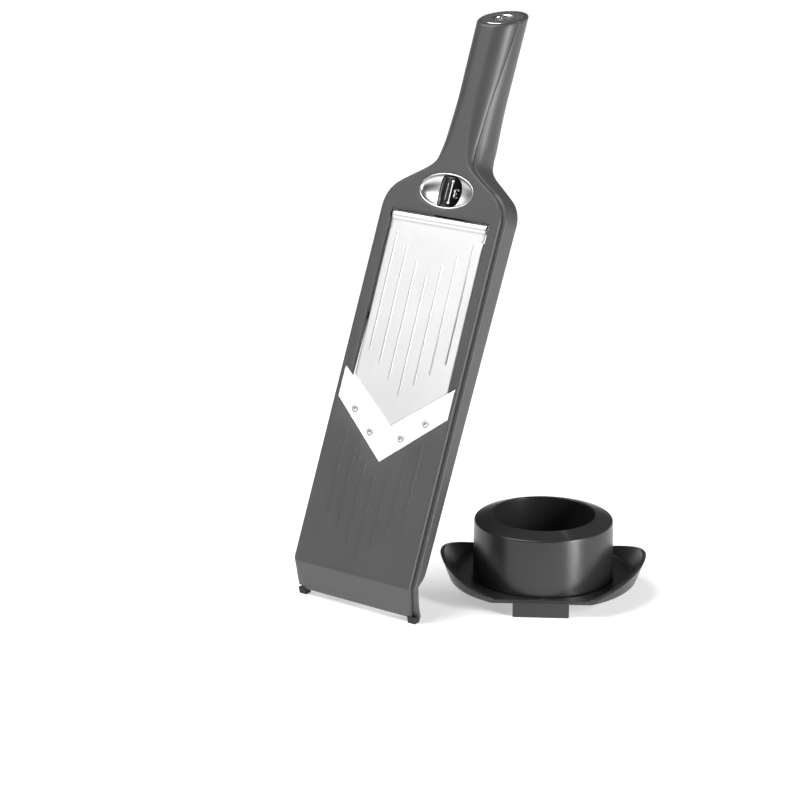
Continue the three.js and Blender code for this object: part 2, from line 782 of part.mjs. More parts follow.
function handleScrew(y) {
  const seat = gripAxisZ - handleWellDepth;
  const tip = -2 * handleBoss.skin - 1.6;
  return bar([0, y, seat - gap - 1.6], [0, y, seat - gap], handleScrewHead, handleScrewHead, 20).add(
    bar([0, y, seat - 1], [0, y, tip], handleScrewShank, handleScrewShank, 12),
  );
}

function hangingEyelet() {
  const tube = eyeletBore(eyeletRadius + eyeletWall).intersect(grip(1));
  const flange = eyeletSeat(eyeletFlange, 0.2, eyeletFace);
  return tube
    .subtract(pastEnd(0.2))
    .add(flange)
    .subtract(eyeletBore(eyeletRadius));
}

// ---- Food holder, in its own frame ----

function holderTray() {
  const under = trayUnderside;
  const floor = under + trayThickness;
  const bore = ringBore + 0.3;
  const dish = turned([
    [bore, under],
    [trayFloorRadius, under],
    [wingRadius, wingTop - 1],
    [wingRadius, wingTop],
    [wingRadius - 1.6, wingTop],
    [trayFloorRadius - 1.5, floor],
    [bore, floor],
  ]);
  const half = deckHalfWidth + tabRunning + tabThickness;
  const trimmed = side(
    [
      [-half, 0],
      [half, 0],
      [half, wingEdgeTop],
      [wingLevel, wingTop + 1],
      [-wingLevel, wingTop + 1],
      [-half, wingEdgeTop],
    ],
    -clearOfAll,
    clearOfAll,
  );
  const tab = (y0) => block(-tabHalfWidth, tabHalfWidth, y0, y0 + tabThickness, 0, under + 1);
  return joined([dish.intersect(trimmed), tab(-half), tab(half - tabThickness)]);
}

const holderRing = () => {
  const foot = trayUnderside + trayThickness + gap;
  return turned([
    [ringBore, foot],
    [ringFoot, foot],
    [ringRadius, ringShoulder],
    [ringBore + 1, ringTop],
    [ringBore, ringTop - 0.6],
  ]);
};

const pusherRadius = ringBore - pusherGap;

const pusherDisc = () =>
  turned([
    [0, pusherZ],
    [pusherRadius, pusherZ],
    [pusherRadius, pusherZ + pusherThickness + pusherRim],
    [pusherRadius - wall, pusherZ + pusherThickness + pusherRim],
    [pusherRadius - wall, pusherZ + pusherThickness],
    [0, pusherZ + pusherThickness],
  ]);

function spikePlate() {
  const top = pusherZ - gap;
  const under = top - 1;
  const disc = bar([0, 0, under], [0, 0, top], pusherRadius - 3, pusherRadius - 3, 48);
  const spikes = spikeRings.flatMap(({ radius, count }) =>
    Array.from({ length: count }, (_, i) => {
      const angle = (2 * Math.PI * i) / count;
      const x = radius * Math.cos(angle);
      const y = radius * Math.sin(angle);
      return bar([x, y, under + 0.2], [x, y, under - spikeLength], 1.1, 0.15, 8);
    }),
  );
  return joined([disc, ...spikes]);
}

// ---- The set, standing as it is used ----

const slicer = new THREE.Group();
slicer.rotation.x = Math.PI / 2 - lean;
slicer.position.set(0, footContactZ * Math.cos(lean), -footContactZ * Math.sin(lean));
slicer.add(
  toMesh("upper_shell", upperShell(), plastic),
  toMesh("lower_shell", lowerShell(), plastic),
  toMesh("hanging_eyelet", hangingEyelet(), steel),
  toMesh("v_blade", vBlade(), steel),
  ...bladeScrewPlaces.map((place, i) =>
    toMesh(`blade_screw_${place.label}_${Math.floor(i / 2) + 1}`, bladeScrew(place), steel)),
  toMesh("hinge_pin", hingePin(), steel),
  toMesh("dial_cup", dialCup(), steel),
  toMesh("dial_drum", dialDrum(), gloss),
  toMesh("dial_spindle", dialSpindle(), steel),
  toMesh("spindle_clip", spindleClip(), steel),
  toMesh("spindle_bush_lower", bush(bridge.y0, bridge.y1), brass),
  toMesh("spindle_bush_upper", bush(bearingRib.y0, bearingRib.y1), brass),
  toMesh("lift_wedge", liftWedge(), darkPlastic),
  toMesh("detent_spring", detentSpring(), steel),
  toMesh("foot_left", foot(footPlaces[0]), rubber),
  toMesh("foot_right", foot(footPlaces[1]), rubber),
  ...shellScrewPlaces.map((place, i) =>
    toMesh(`shell_screw_${place.label}_${Math.floor(i / 2) + 1}`, shellScrew(place), steel)),
  ...handleScrewYs.map((y, i) => toMesh(`handle_screw_${i + 1}`, handleScrew(y), steel)),
);

const ramp = new THREE.Group();
ramp.position.set(0, hingeY, hingeZ);
ramp.rotation.x = tiltAt(restCut);
ramp.add(toMesh("ramp_plate", rampPlate(), steel), toMesh("lift_shoe", liftShoe(), darkPlastic));
slicer.add(ramp);

const holder = new THREE.Group();
holder.position.set(holderPlace.x, holderPlace.y, 0);
holder.rotation.z = holderPlace.turn;
holder.add(
  toMesh("holder_tray", holderTray(), darkPlastic),
  toMesh("holder_ring", holderRing(), darkPlastic),
  toMesh("pusher_disc", pusherDisc(), darkPlastic),
  toMesh("spike_plate", spikePlate(), steel),
);

// The origin is under the middle of the set, on the table.
const set = new THREE.Group();
set.add(slicer, holder);
const box = new THREE.Box3().setFromObject(set, true);
const middle = box.getCenter(new THREE.Vector3());
set.position.set(-middle.x, -middle.y, -box.min.z);

export default set;
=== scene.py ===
import json
import math

import bmesh
import bpy
import numpy as np
from mathutils import Matrix, Vector


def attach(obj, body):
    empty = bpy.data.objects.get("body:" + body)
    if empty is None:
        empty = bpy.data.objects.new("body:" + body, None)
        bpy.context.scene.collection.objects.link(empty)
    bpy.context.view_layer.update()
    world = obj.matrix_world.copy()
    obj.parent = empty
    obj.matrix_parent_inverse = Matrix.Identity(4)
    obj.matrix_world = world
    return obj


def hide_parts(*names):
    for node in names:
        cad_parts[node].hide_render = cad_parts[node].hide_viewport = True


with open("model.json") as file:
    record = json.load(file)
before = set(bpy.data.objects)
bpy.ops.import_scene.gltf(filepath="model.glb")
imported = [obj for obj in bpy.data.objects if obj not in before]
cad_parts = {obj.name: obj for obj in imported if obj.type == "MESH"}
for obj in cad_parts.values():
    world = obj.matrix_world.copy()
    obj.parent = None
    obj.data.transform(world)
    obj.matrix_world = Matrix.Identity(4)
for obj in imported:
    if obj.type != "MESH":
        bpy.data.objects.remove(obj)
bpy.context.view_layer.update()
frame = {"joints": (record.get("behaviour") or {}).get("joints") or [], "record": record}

# ---- Lower shell ----
# The open tray that carries everything: side walls with a ledge beside the deck, corner posts,
# a cross member and spine for the spindle, the hump round the dial and the back of the handle.
# One injection moulding in charcoal plastic with a fine spark-eroded grain.

millimetre = 0.001
joints = {joint["name"]: joint for joint in frame["joints"]}
mounts = {mount["name"]: mount for mount in frame["record"]["mounts"]}
across = Vector(joints["ramp_tilt"]["axis"])
up_deck = Vector(joints["dial_turn"]["axis"])
out_of_deck = Vector(mounts["deck_face"]["axis"])
hinge_y = 257.8
hinge_z = -3.4
lean = math.atan2(up_deck.y, up_deck.z)


def frame_of(origin, x_axis, y_axis, z_axis):
    """The matrix that sets a piece drawn in millimetres where it stands."""
    rows = [
        [x_axis[i] * millimetre, y_axis[i] * millimetre, z_axis[i] * millimetre, origin[i]]
        for i in range(3)
    ]
    return Matrix(rows + [[0, 0, 0, 1]])


hinge_origin = Vector(joints["ramp_tilt"]["pos_m"])
slicer_origin = hinge_origin - (up_deck * hinge_y + out_of_deck * hinge_z) * millimetre
slicer_place = frame_of(slicer_origin, across, up_deck, out_of_deck)

body_half = 50.0
shoulder_y = 262.0
shoulder_radius = 24.0
neck_radius = 18.0
shoulder_turn = math.radians(55)
grip_radius = 16.1
grip_axis = -15.6
grip_waist = 345.0
neck_swell, neck_swell_run, neck_swell_power = 2.3, 47.0, 1.6
end_swell, end_swell_run = 0.3, 70.0
handle_end = 400.0
end_tilt = math.radians(30)
seam_gap = 0.3
deck_thickness = 2.4
ledge_width = 3.0
crease_y = 20.8
apron_length = 22.56
apron_down = (-0.798, -0.603)
foot_contact = -16.5


def smooth_step(value, low=0.0, high=1.0):
    t = min(max((value - low) / (high - low), 0.0), 1.0)
    return t * t * (3 - 2 * t)


def softly_more(a, b, softness):
    return (a + b + math.hypot(a - b, softness)) / 2


def softly_less(a, b, softness):
    return (a + b - math.hypot(a - b, softness)) / 2


def grip_at(y):
    if y < grip_waist:
        share = (grip_waist - max(y, shoulder_y)) / neck_swell_run
        return grip_radius + neck_swell * share**neck_swell_power
    return grip_radius + end_swell * (y - grip_waist) / end_swell_run


def half_width(y):
    """Half the body's width: straight sides, a round shoulder, a slope and a hollow neck."""
    if y <= shoulder_y:
        return body_half
    sine, cosine = math.sin(shoulder_turn), math.cos(shoulder_turn)
    shoulder_x = body_half - shoulder_radius
    neck_x = grip_radius + neck_radius
    run = (shoulder_x + shoulder_radius * cosine - neck_x + neck_radius * cosine) / sine
    slope_start = shoulder_y + shoulder_radius * sine
    slope_end = slope_start + run * cosine
    neck_y = slope_end + neck_radius * sine
    if y <= slope_start:
        width = shoulder_x + math.sqrt(shoulder_radius**2 - (y - shoulder_y) ** 2)
    elif y <= slope_end:
        width = shoulder_x + shoulder_radius * cosine - (y - slope_start) * sine / cosine
    elif y <= neck_y:
        width = neck_x - math.sqrt(neck_radius**2 - (neck_y - y) ** 2)
    else:
        width = grip_radius - (y - neck_y) * 0.2
    return softly_more(width, grip_at(y), 0.6)


def seam_at(y):
    """How far below the deck's face the seam between the shells runs."""
    return -deck_thickness - 9.6 * max((y - 284) / 116, 0.0) ** 1.15


def handle_share(y):
    """0 on the deck, 1 on the handle, and a smooth change across the neck."""
    return smooth_step(y, 272, 316)


def past_crease(s, depth):
    """A point at a depth under the face, s up the deck from the crease, or down the apron."""
    corner = np.array([crease_y + depth * 0.335, -depth])
    down = np.array(apron_down)
    near = 1.2

    def straight(t):
        if t >= 0:
            return corner + np.array([t - depth * 0.335 * smooth_step(t, 0, 40), 0.0])
        return corner + down * (-t - depth * 0.335 * smooth_step(-t, 0, 15))

    if abs(s) >= near:
        return straight(s)
    t = (s + near) / (2 * near)
    return (1 - t) ** 2 * straight(-near) + 2 * t * (1 - t) * corner + t**2 * straight(near)


def on_body(s, x, z):
    """A section's point (x, z) carried to its place along the apron, the deck and the handle."""
    if s < 60:
        y, z_there = past_crease(s, -z)
        return (x, y, z_there)
    y = crease_y + s
    sheared = smooth_step(y, 335, 385)
    return (x, y - math.tan(end_tilt) * (z - grip_axis) * sheared, z)


def blend(start, end, share):
    """Each point of one outline carried a share of the way to the same point of another."""
    return [((1 - share) * p[0] + share * q[0], (1 - share) * p[1] + share * q[1])
            for p, q in zip(start, end)]


def round_angles(count):
    return [2 * math.pi * k / count for k in range(count)]


def shown(name, data):
    made = bpy.data.objects.new(name, data)
    bpy.context.scene.collection.objects.link(made)
    return made


def solid(name, points, faces):
    mesh = bpy.data.meshes.new(name)
    mesh.from_pydata([tuple(p) for p in points], [], faces)
    work = bmesh.new()
    work.from_mesh(mesh)
    bmesh.ops.remove_doubles(work, verts=work.verts, dist=1e-4)
    loose = [e for e in work.edges if not e.link_faces]
    bmesh.ops.delete(work, geom=loose, context="EDGES")
    bmesh.ops.recalc_face_normals(work, faces=work.faces)
    work.to_mesh(mesh)
    work.free()
    return shown(name, mesh)


def loft(name, rings, ends="flat"):
    """A closed solid through rings of equal numbers of points. Its ends are flat faces, strips
    across a thin wall, or open when the rings close on themselves."""
    count, size = len(rings), len(rings[0])
    rows = range(count if ends == "round" else count - 1)
    faces = [
        (
            i * size + j,
            i * size + (j + 1) % size,
            (i + 1) % count * size + (j + 1) % size,
            (i + 1) % count * size + j,
        )
        for i in rows
        for j in range(size)
    ]
    last = (count - 1) * size
    if ends == "flat":
        faces += [tuple(range(size)), tuple(last + j for j in range(size))]
    if ends == "strip":
        for first in (0, last):
            faces += [
                (first + j, first + j + 1, first + size - 2 - j, first + size - 1 - j)
                for j in range(size // 2 - 1)
            ]
    return solid(name, [p for ring in rings for p in ring], faces)


def settled(thing):
    """Turns what a piece's modifiers make into its plain mesh."""
    graph = bpy.context.evaluated_depsgraph_get()
    mesh = bpy.data.meshes.new_from_object(thing.evaluated_get(graph))
    thing.modifiers.clear()
    thing.data = mesh
    return thing


def combined(target, tool, operation):
    change = target.modifiers.new("join", "BOOLEAN")
    change.operation = operation
    change.solver = "MANIFOLD"
    change.object = tool
    settled(target)
    bpy.data.objects.remove(tool)
    return target


def cut(target, *tools):
    for tool in tools:
        combined(target, tool, "DIFFERENCE")
    return target


def added(target, *tools):
    for tool in tools:
        combined(target, tool, "UNION")
    return target


def rounded(corners, steps=4):
    """A closed outline whose corners (x, y, radius) are rounded."""
    outline = []
    for i, (x, y, radius) in enumerate(corners):
        here = Vector((x, y))
        back = Vector(corners[i - 1][:2]) - here
        on = Vector(corners[(i + 1) % len(corners)][:2]) - here
        half = back.angle(on) / 2
        if radius <= 0 or half > math.radians(89):
            outline.append((x, y))
            continue
        reach = min(radius / math.tan(half), 0.48 * back.length, 0.48 * on.length)
        true_radius = reach * math.tan(half)
        middle = back.normalized() + on.normalized()
        centre = here + middle.normalized() * (true_radius / math.sin(half))
        first = here + back.normalized() * reach - centre
        last = here + on.normalized() * reach - centre
        start = math.atan2(first.y, first.x)
        sweep = math.atan2(last.y, last.x) - start
        sweep = (sweep + math.pi) % (2 * math.pi) - math.pi
        for k in range(steps + 1):
            angle = start + sweep * k / steps
            outline.append((
                centre.x + true_radius * math.cos(angle),
                centre.y + true_radius * math.sin(angle),
            ))
    return outline


def grown(outline, distance):
    """An outline, counter-clockwise, moved outwards all round by a distance."""
    points = np.array(outline, float)
    before = points - np.roll(points, 1, 0)
    after = np.roll(points, -1, 0) - points
    normals = []
    for edge in (before, after):
        edge = edge / np.linalg.norm(edge, axis=1)[:, None]
        normals.append(np.stack([edge[:, 1], -edge[:, 0]], 1))
    middle = normals[0] + normals[1]
    share = 1 + (normals[0] * normals[1]).sum(1)
    return points + distance * middle / share[:, None]


def slab(name, outline, low, high, soft_low=0.0, soft_high=0.0, flare=0.0, axes="xyz"):
    """An outline given thickness, with soft edges, or a flare at the top for cutting a soft rim."""
    quarter = [math.radians(a) for a in (0, 22.5, 45, 67.5, 90)]
    levels = []
    if soft_low:
        levels += [(low + soft_low * (1 - math.sin(a)), -soft_low * (1 - math.cos(a)))
                   for a in reversed(quarter)]
    else:
        levels.append((low, 0.0))
    if soft_high:
        levels += [(high - soft_high * (1 - math.sin(a)), -soft_high * (1 - math.cos(a)))
                   for a in quarter]
    elif flare:
        levels += [(-flare + flare * math.sin(a), flare * (1 - math.cos(a))) for a in quarter]
        levels.append((high, flare))
    else:
        levels.append((high, 0.0))
    order = {"xyz": (0, 1, 2), "yzx": (2, 0, 1), "xzy": (0, 2, 1)}[axes]
    rings = []
    for level, distance in levels:
        flat = grown(outline, distance) if distance else np.array(outline, float)
        ring = [(x, y, level) for x, y in flat]
        rings.append([tuple(p[k] for k in order) for p in ring])
    return loft(name, rings)


def box_outline(x0, x1, y0, y1, radius=0.0):
    return rounded([(x0, y0, radius), (x1, y0, radius), (x1, y1, radius), (x0, y1, radius)])


def block(name, x0, x1, y0, y1, z0, z1, radius=0.0):
    return slab(name, box_outline(x0, x1, y0, y1, radius), z0, z1)


def turned(name, profile, sides=64, place=None):
    """A closed outline of (radius, height) turned about an axis, which stands up unless placed."""
    rings = []
    for angle in round_angles(sides):
        rings.append([(r * math.cos(angle), r * math.sin(angle), z) for r, z in profile])
    made = loft(name, rings, "round")
    if place is not None:
        made.data.transform(place)
    return made


def pole(radius, low, high, soft=0.0):
    """The profile of a round bar."""
    return rounded([(0, low, 0), (radius, low, soft), (radius, high, soft), (0, high, 0)], 3)


along_y = Matrix.Rotation(-math.pi / 2, 4, "X")
along_x = Matrix.Rotation(math.pi / 2, 4, "Y")


def standing_bar(name, x, y, radius, low, high, sides, soft=0.0):
    return turned(name, pole(radius, low, high, soft), sides, Matrix.Translation((x, y, 0)))


def softened(thing, width, segments, angle):
    """Rounds the edges that are sharper than an angle, and settles the piece."""
    soften = thing.modifiers.new("edges", "BEVEL")
    soften.width, soften.segments = width, segments
    soften.limit_method, soften.angle_limit = "ANGLE", math.radians(angle)
    return settled(thing)


def fitted(thing, place, body, slot, finish, *nodes, angle=32):
    """Sets a finished piece in its place, on its body, for its CAD nodes."""
    mesh = thing.data
    mesh.transform(place)
    mesh.materials.clear()
    mesh.materials.append(finish)
    mesh.polygons.foreach_set("material_index", [0] * len(mesh.polygons))
    mesh.polygons.foreach_set("use_smooth", [True] * len(mesh.polygons))
    mesh.set_sharp_from_angle(angle=math.radians(angle))
    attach(thing, body)
    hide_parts(*nodes)
    return thing


def add_node(tree, kind, inputs=None, **settings):
    """A node with its settings, each of its inputs given a value or linked from a socket."""
    node = tree.nodes.new(kind)
    for name, value in settings.items():
        setattr(node, name, value)
    for name, value in (inputs or {}).items():
        if isinstance(value, bpy.types.NodeSocket):
            tree.links.new(value, node.inputs[name])
        elif value is not None:
            node.inputs[name].default_value = value
    return node


def new_finish(name, surface):
    """A material's node tree, and its shader with its plain values."""
    finish = bpy.data.materials.new(name)
    finish.use_nodes = True
    shader = finish.node_tree.nodes["Principled BSDF"]
    for label, value in surface.items():
        shader.inputs[label].default_value = value
    return finish, finish.node_tree, shader


def into_slicer(tree):
    """Coordinates in metres that lie along the slicer, so that grain and brushing follow it."""
    place = add_node(tree, "ShaderNodeTexCoord")
    turn = add_node(tree, "ShaderNodeMapping", {
        "Vector": place.outputs["Object"], "Rotation": (lean - math.pi / 2, 0, 0),
    })
    return turn.outputs["Vector"]


def noise(tree, where, scale, detail):
    made = add_node(tree, "ShaderNodeTexNoise", {"Vector": where, "Scale": scale, "Detail": detail})
    return made.outputs["Fac"]


def ranged(tree, value, **limits):
    """A value spread between limits: from_min, from_max, to_min and to_max."""
    names = {label.replace("_", " ").title(): limit for label, limit in limits.items()}
    return add_node(tree, "ShaderNodeMapRange", {"Value": value, **names}).outputs["Result"]


def two_tone(tree, share, dark, light):
    made = add_node(tree, "ShaderNodeMix", {"Factor": share, "A": dark, "B": light},
                    data_type="RGBA")
    return made.outputs["Result"]


def coat(tree, shader, tone, gloss, relief, strength, depth):
    """Wires a colour, a roughness and a fine relief into a shader."""
    bump = add_node(tree, "ShaderNodeBump", {
        "Strength": strength, "Distance": depth, "Height": relief,
    })
    for label, socket in (("Base Color", tone), ("Roughness", gloss),
                          ("Normal", bump.outputs["Normal"])):
        tree.links.new(socket, shader.inputs[label])


def tinted(colour, share, extra=0.0):
    return (*[min(c * share + extra, 1) for c in colour], 1)


def moulded(name, colour, roughness, grain, depth, edge_wear_and_highlight):
    """Moulded plastic: a fine grain, faint clouding, and sharp edges painted lighter, partly as
    wear polished by handling and partly as a painted highlight where light catches them.
    """
    finish, tree, shader = new_finish(name, {"Specular IOR Level": 0.5})
    where = into_slicer(tree)
    cloud = noise(tree, where, 22, 4)
    fine = noise(tree, where, grain, 2)
    plain = two_tone(tree, cloud, tinted(colour, 0.88), tinted(colour, 1.12))
    shape = add_node(tree, "ShaderNodeNewGeometry")
    # Sharp edges, found by their pointiness, are painted lighter: partly handling wear, partly a
    # painted highlight.
    edge = ranged(tree, shape.outputs["Pointiness"], from_min=0.52, from_max=0.62, to_max=edge_wear_and_highlight)
    worn_and_highlit = two_tone(tree, edge, plain, tinted(colour, 2.2, 0.02))
    gloss = ranged(tree, cloud, to_min=roughness - 0.05, to_max=roughness + 0.07)
    coat(tree, shader, worn_and_highlit, gloss, fine, 0.5, depth)
    return finish


body_plastic = moulded("body_plastic", (0.052, 0.052, 0.055), 0.42, 2600, 0.00003, 0.3)

wall = 2.6
hump_radius = 14.8
hump_start_y = 280.0
depth_at_feet, depth_at_neck = 11.5, 17.3
depth_at_hump, depth_at_handle = 20.3, 24.6


def underside(y):
    """The body's underside at its edges, deeper towards the neck."""
    if y <= shoulder_y:
        share = (y - crease_y) / (shoulder_y - crease_y)
        return -depth_at_feet - (depth_at_neck - depth_at_feet) * share
    if y <= hump_start_y:
        share = (y - shoulder_y) / (hump_start_y - shoulder_y)
        return -depth_at_neck - (depth_at_hump - depth_at_neck) * share
    share = min((y - hump_start_y) / 16, 1)
    return -depth_at_hump - (depth_at_handle - depth_at_hump) * share


def post_depth(s):
    """The corner post's depth behind the apron: it narrows towards its foot."""
    return 7.2 + 4.1 * smooth_step(s, 0, 7) - 2.8 * smooth_step(-s, 0, 16)


def lower_half(y, radius, inset=0.0, top=None, bottom=None):
    """Half of a section across the lower shell, from its seam down to the middle of its back."""
    low_edge, foot_edge = (0.1, 0.6) if inset else (0.7, 2.0)
    a = half_width(y) - inset
    high = seam_at(y) - seam_gap if top is None else top
    low = (underside(y) if bottom is None else bottom) + inset
    low_edge = min(low_edge, 0.2 * (high - low))
    foot_edge = min(foot_edge, 0.5 * (high - low))
    quarter = np.linspace(0, math.pi / 2, 4)
    deck = [(a - low_edge + low_edge * math.sin(t), high - low_edge + low_edge * math.cos(t))
            for t in quarter]
    deck += [(a, z) for z in np.linspace(high - low_edge, low + foot_edge, 5)[1:-1]]
    deck += [(a - foot_edge + foot_edge * math.cos(t), low + foot_edge - foot_edge * math.sin(t))
             for t in np.linspace(0, math.pi / 2, 5)]
    hump = radius - inset if radius else 0
    shares = (0.75, 0.55, 0.42, 0.35, 0.315, 0.302, 0.285, 0.26, 0.22, 0.17, 0.12, 0.08, 0.04, 0)
    for share in shares:
        x = (a - foot_edge) * share
        z = low
        if hump:
            axis = -12.7 - 2.1 * (y - shoulder_y) / 38
            reach = math.sqrt(max(hump**2 - x**2, 0))
            z = softly_less(low, axis - reach, 1.0)
        deck.append((x, z))
    grip = grip_at(y) - inset
    start = math.asin(min((high - grip_axis) / grip, 0.9995))
    round_bar = []
    for i, angle in enumerate(np.linspace(start, -math.pi / 2, len(deck))):
        soft = 0.35 * max(1 - i / 3, 0) ** 2 if not inset else 0
        round_bar.append((a * math.cos(angle) - soft, grip_axis + grip * math.sin(angle)))
    return blend(deck, round_bar, handle_share(y))


def both_halves(half, s):
    right = [on_body(s, x, z) for x, z in half]
    left = [on_body(s, -x, z) for x, z in half[:-1]]
    return right + left[::-1]


end_rounding = 1.2
body_rings = []
for s in (-36, -30, -24, -18, -12, -6, -2, -1.2, -0.6, 0, 0.6, 1.2, 2, 4, 7, 12, 25, 40, 60, 90,
          130, 170, 205, 225, 235, 240.6):
    depth = -post_depth(s) if s <= 7 else None
    body_rings.append(both_halves(lower_half(crease_y + s, 0, bottom=depth), s))
for y, radius in ((261.6, 13.4), (261.9, 14.3), (262.4, 14.8)):
    body_rings.append(both_halves(lower_half(y, radius), y - crease_y))
for y in [*np.arange(264, 322, 2.0), *np.arange(325, 398, 4.0)]:
    body_rings.append(both_halves(lower_half(y, hump_radius), y - crease_y))
for angle in np.linspace(0, math.pi / 2, 5):
    y = handle_end - end_rounding * (1 - math.sin(angle))
    inwards = end_rounding * (1 - math.cos(angle))
    half = [(x * (1 - inwards / 16), grip_axis + (z - grip_axis) * (1 - inwards / 16))
            for x, z in lower_half(y, hump_radius)]
    body_rings.append(both_halves(half, y - crease_y))
lower_shell = loft("lower_shell_moulding", body_rings)

tub_inset = 4.0
tub_rings = []
for y in np.arange(265, 374, 3.0):
    inset = tub_inset - 1.4 * smooth_step(y, 290, 310)
    half = lower_half(y, hump_radius, inset=inset, top=1.0)
    tub_rings.append(both_halves(half, y - crease_y))

opening_half = 39.5
chute = opening_half + 1.5
inside = body_half - wall
rail_under = -5.2
bridge_y0, bridge_y1, bridge_top, bridge_dip = 186.0, 192.0, -9.4, -11.3
spindle_z = -11.7
on_spindle = Matrix.Translation((0, 0, spindle_z)) @ along_y
groove_half, groove_floor = 8.35, -15.6
bush_seat = 4.2
hollows = [
    block("cut", -chute, chute, -60, bridge_y0, -80, 5),
    block("cut", -inside, inside, 31, bridge_y0, -80, rail_under, 1.5),
    block("cut", -chute, chute, bridge_y1, shoulder_y, -80, 5, 1.5),
    block("cut", -inside, inside, bridge_y1, shoulder_y, -80, rail_under, 1.5),
    block("cut", -chute, chute, bridge_y0 - 1, bridge_y1 + 1, bridge_top, 5),
    block("cut", -chute, -34, bridge_y0 - 1, bridge_y1 + 1, bridge_dip, 5),
    block("cut", 34, chute, bridge_y0 - 1, bridge_y1 + 1, bridge_dip, 5),
    loft("cut", tub_rings),
]
cut(lower_shell, *hollows)

spine = slab("spine", box_outline(-10.95, 10.95, bridge_y0 + 0.5, shoulder_y + wall), -18.2,
             bridge_top, 0.8, 0.4)
cut(spine, block("cut", -groove_half, groove_half, bridge_y1, shoulder_y, groove_floor, 5))
bearing_y0, bearing_y1 = 291.0, 295.0
bearing = slab("bearing", box_outline(-11, 11, bearing_y0, bearing_y1), -22.7, -7)
handle_screws = (322.0, 352.0)
screw_well = -19.8
screw_posts = [standing_bar("post", 0, y, 4.4, -27.6, -9, 32) for y in handle_screws]
added(lower_shell, spine, bearing, *screw_posts)


def spindle_bore(y0, y1, radius, sides=40):
    return turned("cut", pole(radius, y0, y1), sides, on_spindle)


lean_up = (math.cos(lean), math.sin(lean))
foot_height = 4.5


def below_height(height, x0, x1):
    """Everything lower than a height over the table, for cutting a piece off level."""
    under = block("cut", x0, x1, -60, 0, -60, 60)
    level = Matrix.Translation((0, height * lean_up[0], foot_contact + height * lean_up[1]))
    under.data.transform(level @ Matrix.Rotation(lean, 4, "X"))
    return under


cut(lower_shell, below_height(foot_height + seam_gap, -80, 80))

end_place = (
    Matrix.Translation((0, handle_end, grip_axis))
    @ Matrix.Rotation(end_tilt, 4, "X")
    @ along_y
)
eyelet_bore = 7.4
eyelet_flange = 14.4
pin_half = 41.9


def eyelet_seats():
    return [
        turned("cut", pole(eyelet_bore + 1.3, -60, 20), 48, end_place),
        turned("cut", pole(eyelet_flange + seam_gap, -1.7, 20), 64, end_place),
    ]


drillings = [
    spindle_bore(bridge_y0 - 1, bridge_y1 + 1, bush_seat),
    spindle_bore(shoulder_y - 1, shoulder_y + wall + 3, 3.2),
    spindle_bore(bearing_y0 - 1, bearing_y1 + 1, bush_seat),
    turned("cut", pole(1.9, -pin_half - seam_gap, pin_half + seam_gap), 24,
           Matrix.Translation((0, hinge_y, hinge_z)) @ along_x),
    block("cut", -39.5, 39.5, shoulder_y - 10, shoulder_y + 0.6, -9, 5),
]
for y in handle_screws:
    drillings.append(standing_bar("cut", 0, y, 1.6, -60, 0, 24))
    drillings.append(standing_bar("cut", 0, y, 3.1, -60, screw_well, 32))
rail_middle = (chute + inside) / 2
shell_screws = [(side * rail_middle, y) for y in (60.0, 172.0, 236.0) for side in (-1, 1)]
for x, y in shell_screws:
    drillings.append(standing_bar("cut", x, y, 1.4, -20, 5, 20))
cut(lower_shell, *drillings, *eyelet_seats())
fitted(lower_shell, slicer_place, "slicer", "body_plastic", body_plastic, "lower_shell")

# ---- Upper shell ----
# The deck, the apron that turns down at its foot and the front of the handle, in one moulding of
# the same charcoal plastic. It sits on the lower shell's ledge and is screwed to it from behind.

edge_radius = 1.1


def ledge_at(y):
    return ledge_width - 2.65 * smooth_step(y, 272, 326)


def upper_half(y, s=60):
    """Half of a section across the upper shell: its face from the seam to the middle, and back."""
    a = half_width(y) - ledge_at(y) - 2.4 * smooth_step(-s, 0, apron_length)
    seam = seam_at(y)
    quarter = np.linspace(0, math.pi / 2, 7)
    deck = [(a, -deck_thickness)]
    deck += [(a - edge_radius * (1 - math.cos(t)), -edge_radius * (1 - math.sin(t)))
             for t in quarter]
    deck += [((a - edge_radius) * f, 0.0)
             for f in (0.95, 0.88, 0.78, 0.66, 0.54, 0.42, 0.3, 0.22, 0.14, 0.07, 0)]
    grip = grip_at(y)
    start = math.asin(min((seam - grip_axis) / grip, 0.999))
    face = []
    for i, angle in enumerate(np.linspace(start, math.pi / 2, len(deck))):
        soft = 0.3 * max(1 - i / 3, 0) ** 2
        z = grip_axis + grip * math.sin(angle)
        face.append((a * math.cos(angle) - soft, softly_less(z, 0.0, 0.5)))
    share = handle_share(y)
    outer = blend(deck, face, share)
    filled = smooth_step(y, 370, 376)
    inner = []
    for i, (x, z) in enumerate(outer):
        angle = start + (math.pi / 2 - start) * i / (len(outer) - 1)
        thin = deck_thickness - 0.1
        flat = (max(a - seam_gap, 0) * x / max(outer[0][0], 1e-6), -deck_thickness)
        low = (
            max(a - thin, 1) * math.cos(angle),
            min(grip_axis + (grip - thin) * math.sin(angle), -deck_thickness),
        )
        low = (low[0], low[1] + (seam - low[1]) * filled)
        inner += blend([flat], [low], share)
    return outer, inner


def upper_ring(s, y, shrink=0.0, sink=0.0):
    outer, inner = upper_half(y, s)
    if shrink:
        outer = [(x * (1 - shrink / 16), grip_axis + (z - grip_axis) * (1 - shrink / 16))
                 for x, z in outer]
    if sink:
        outer = [(x - sink * x / outer[0][0], max(z - sink, -deck_thickness)) for x, z in outer]
    face = [on_body(s, -x, z) for x, z in outer[:-1]] + [on_body(s, x, z) for x, z in outer[::-1]]
    back = [on_body(s, x, z) for x, z in inner] + [on_body(s, -x, z) for x, z in inner[-2::-1]]
    return face + back


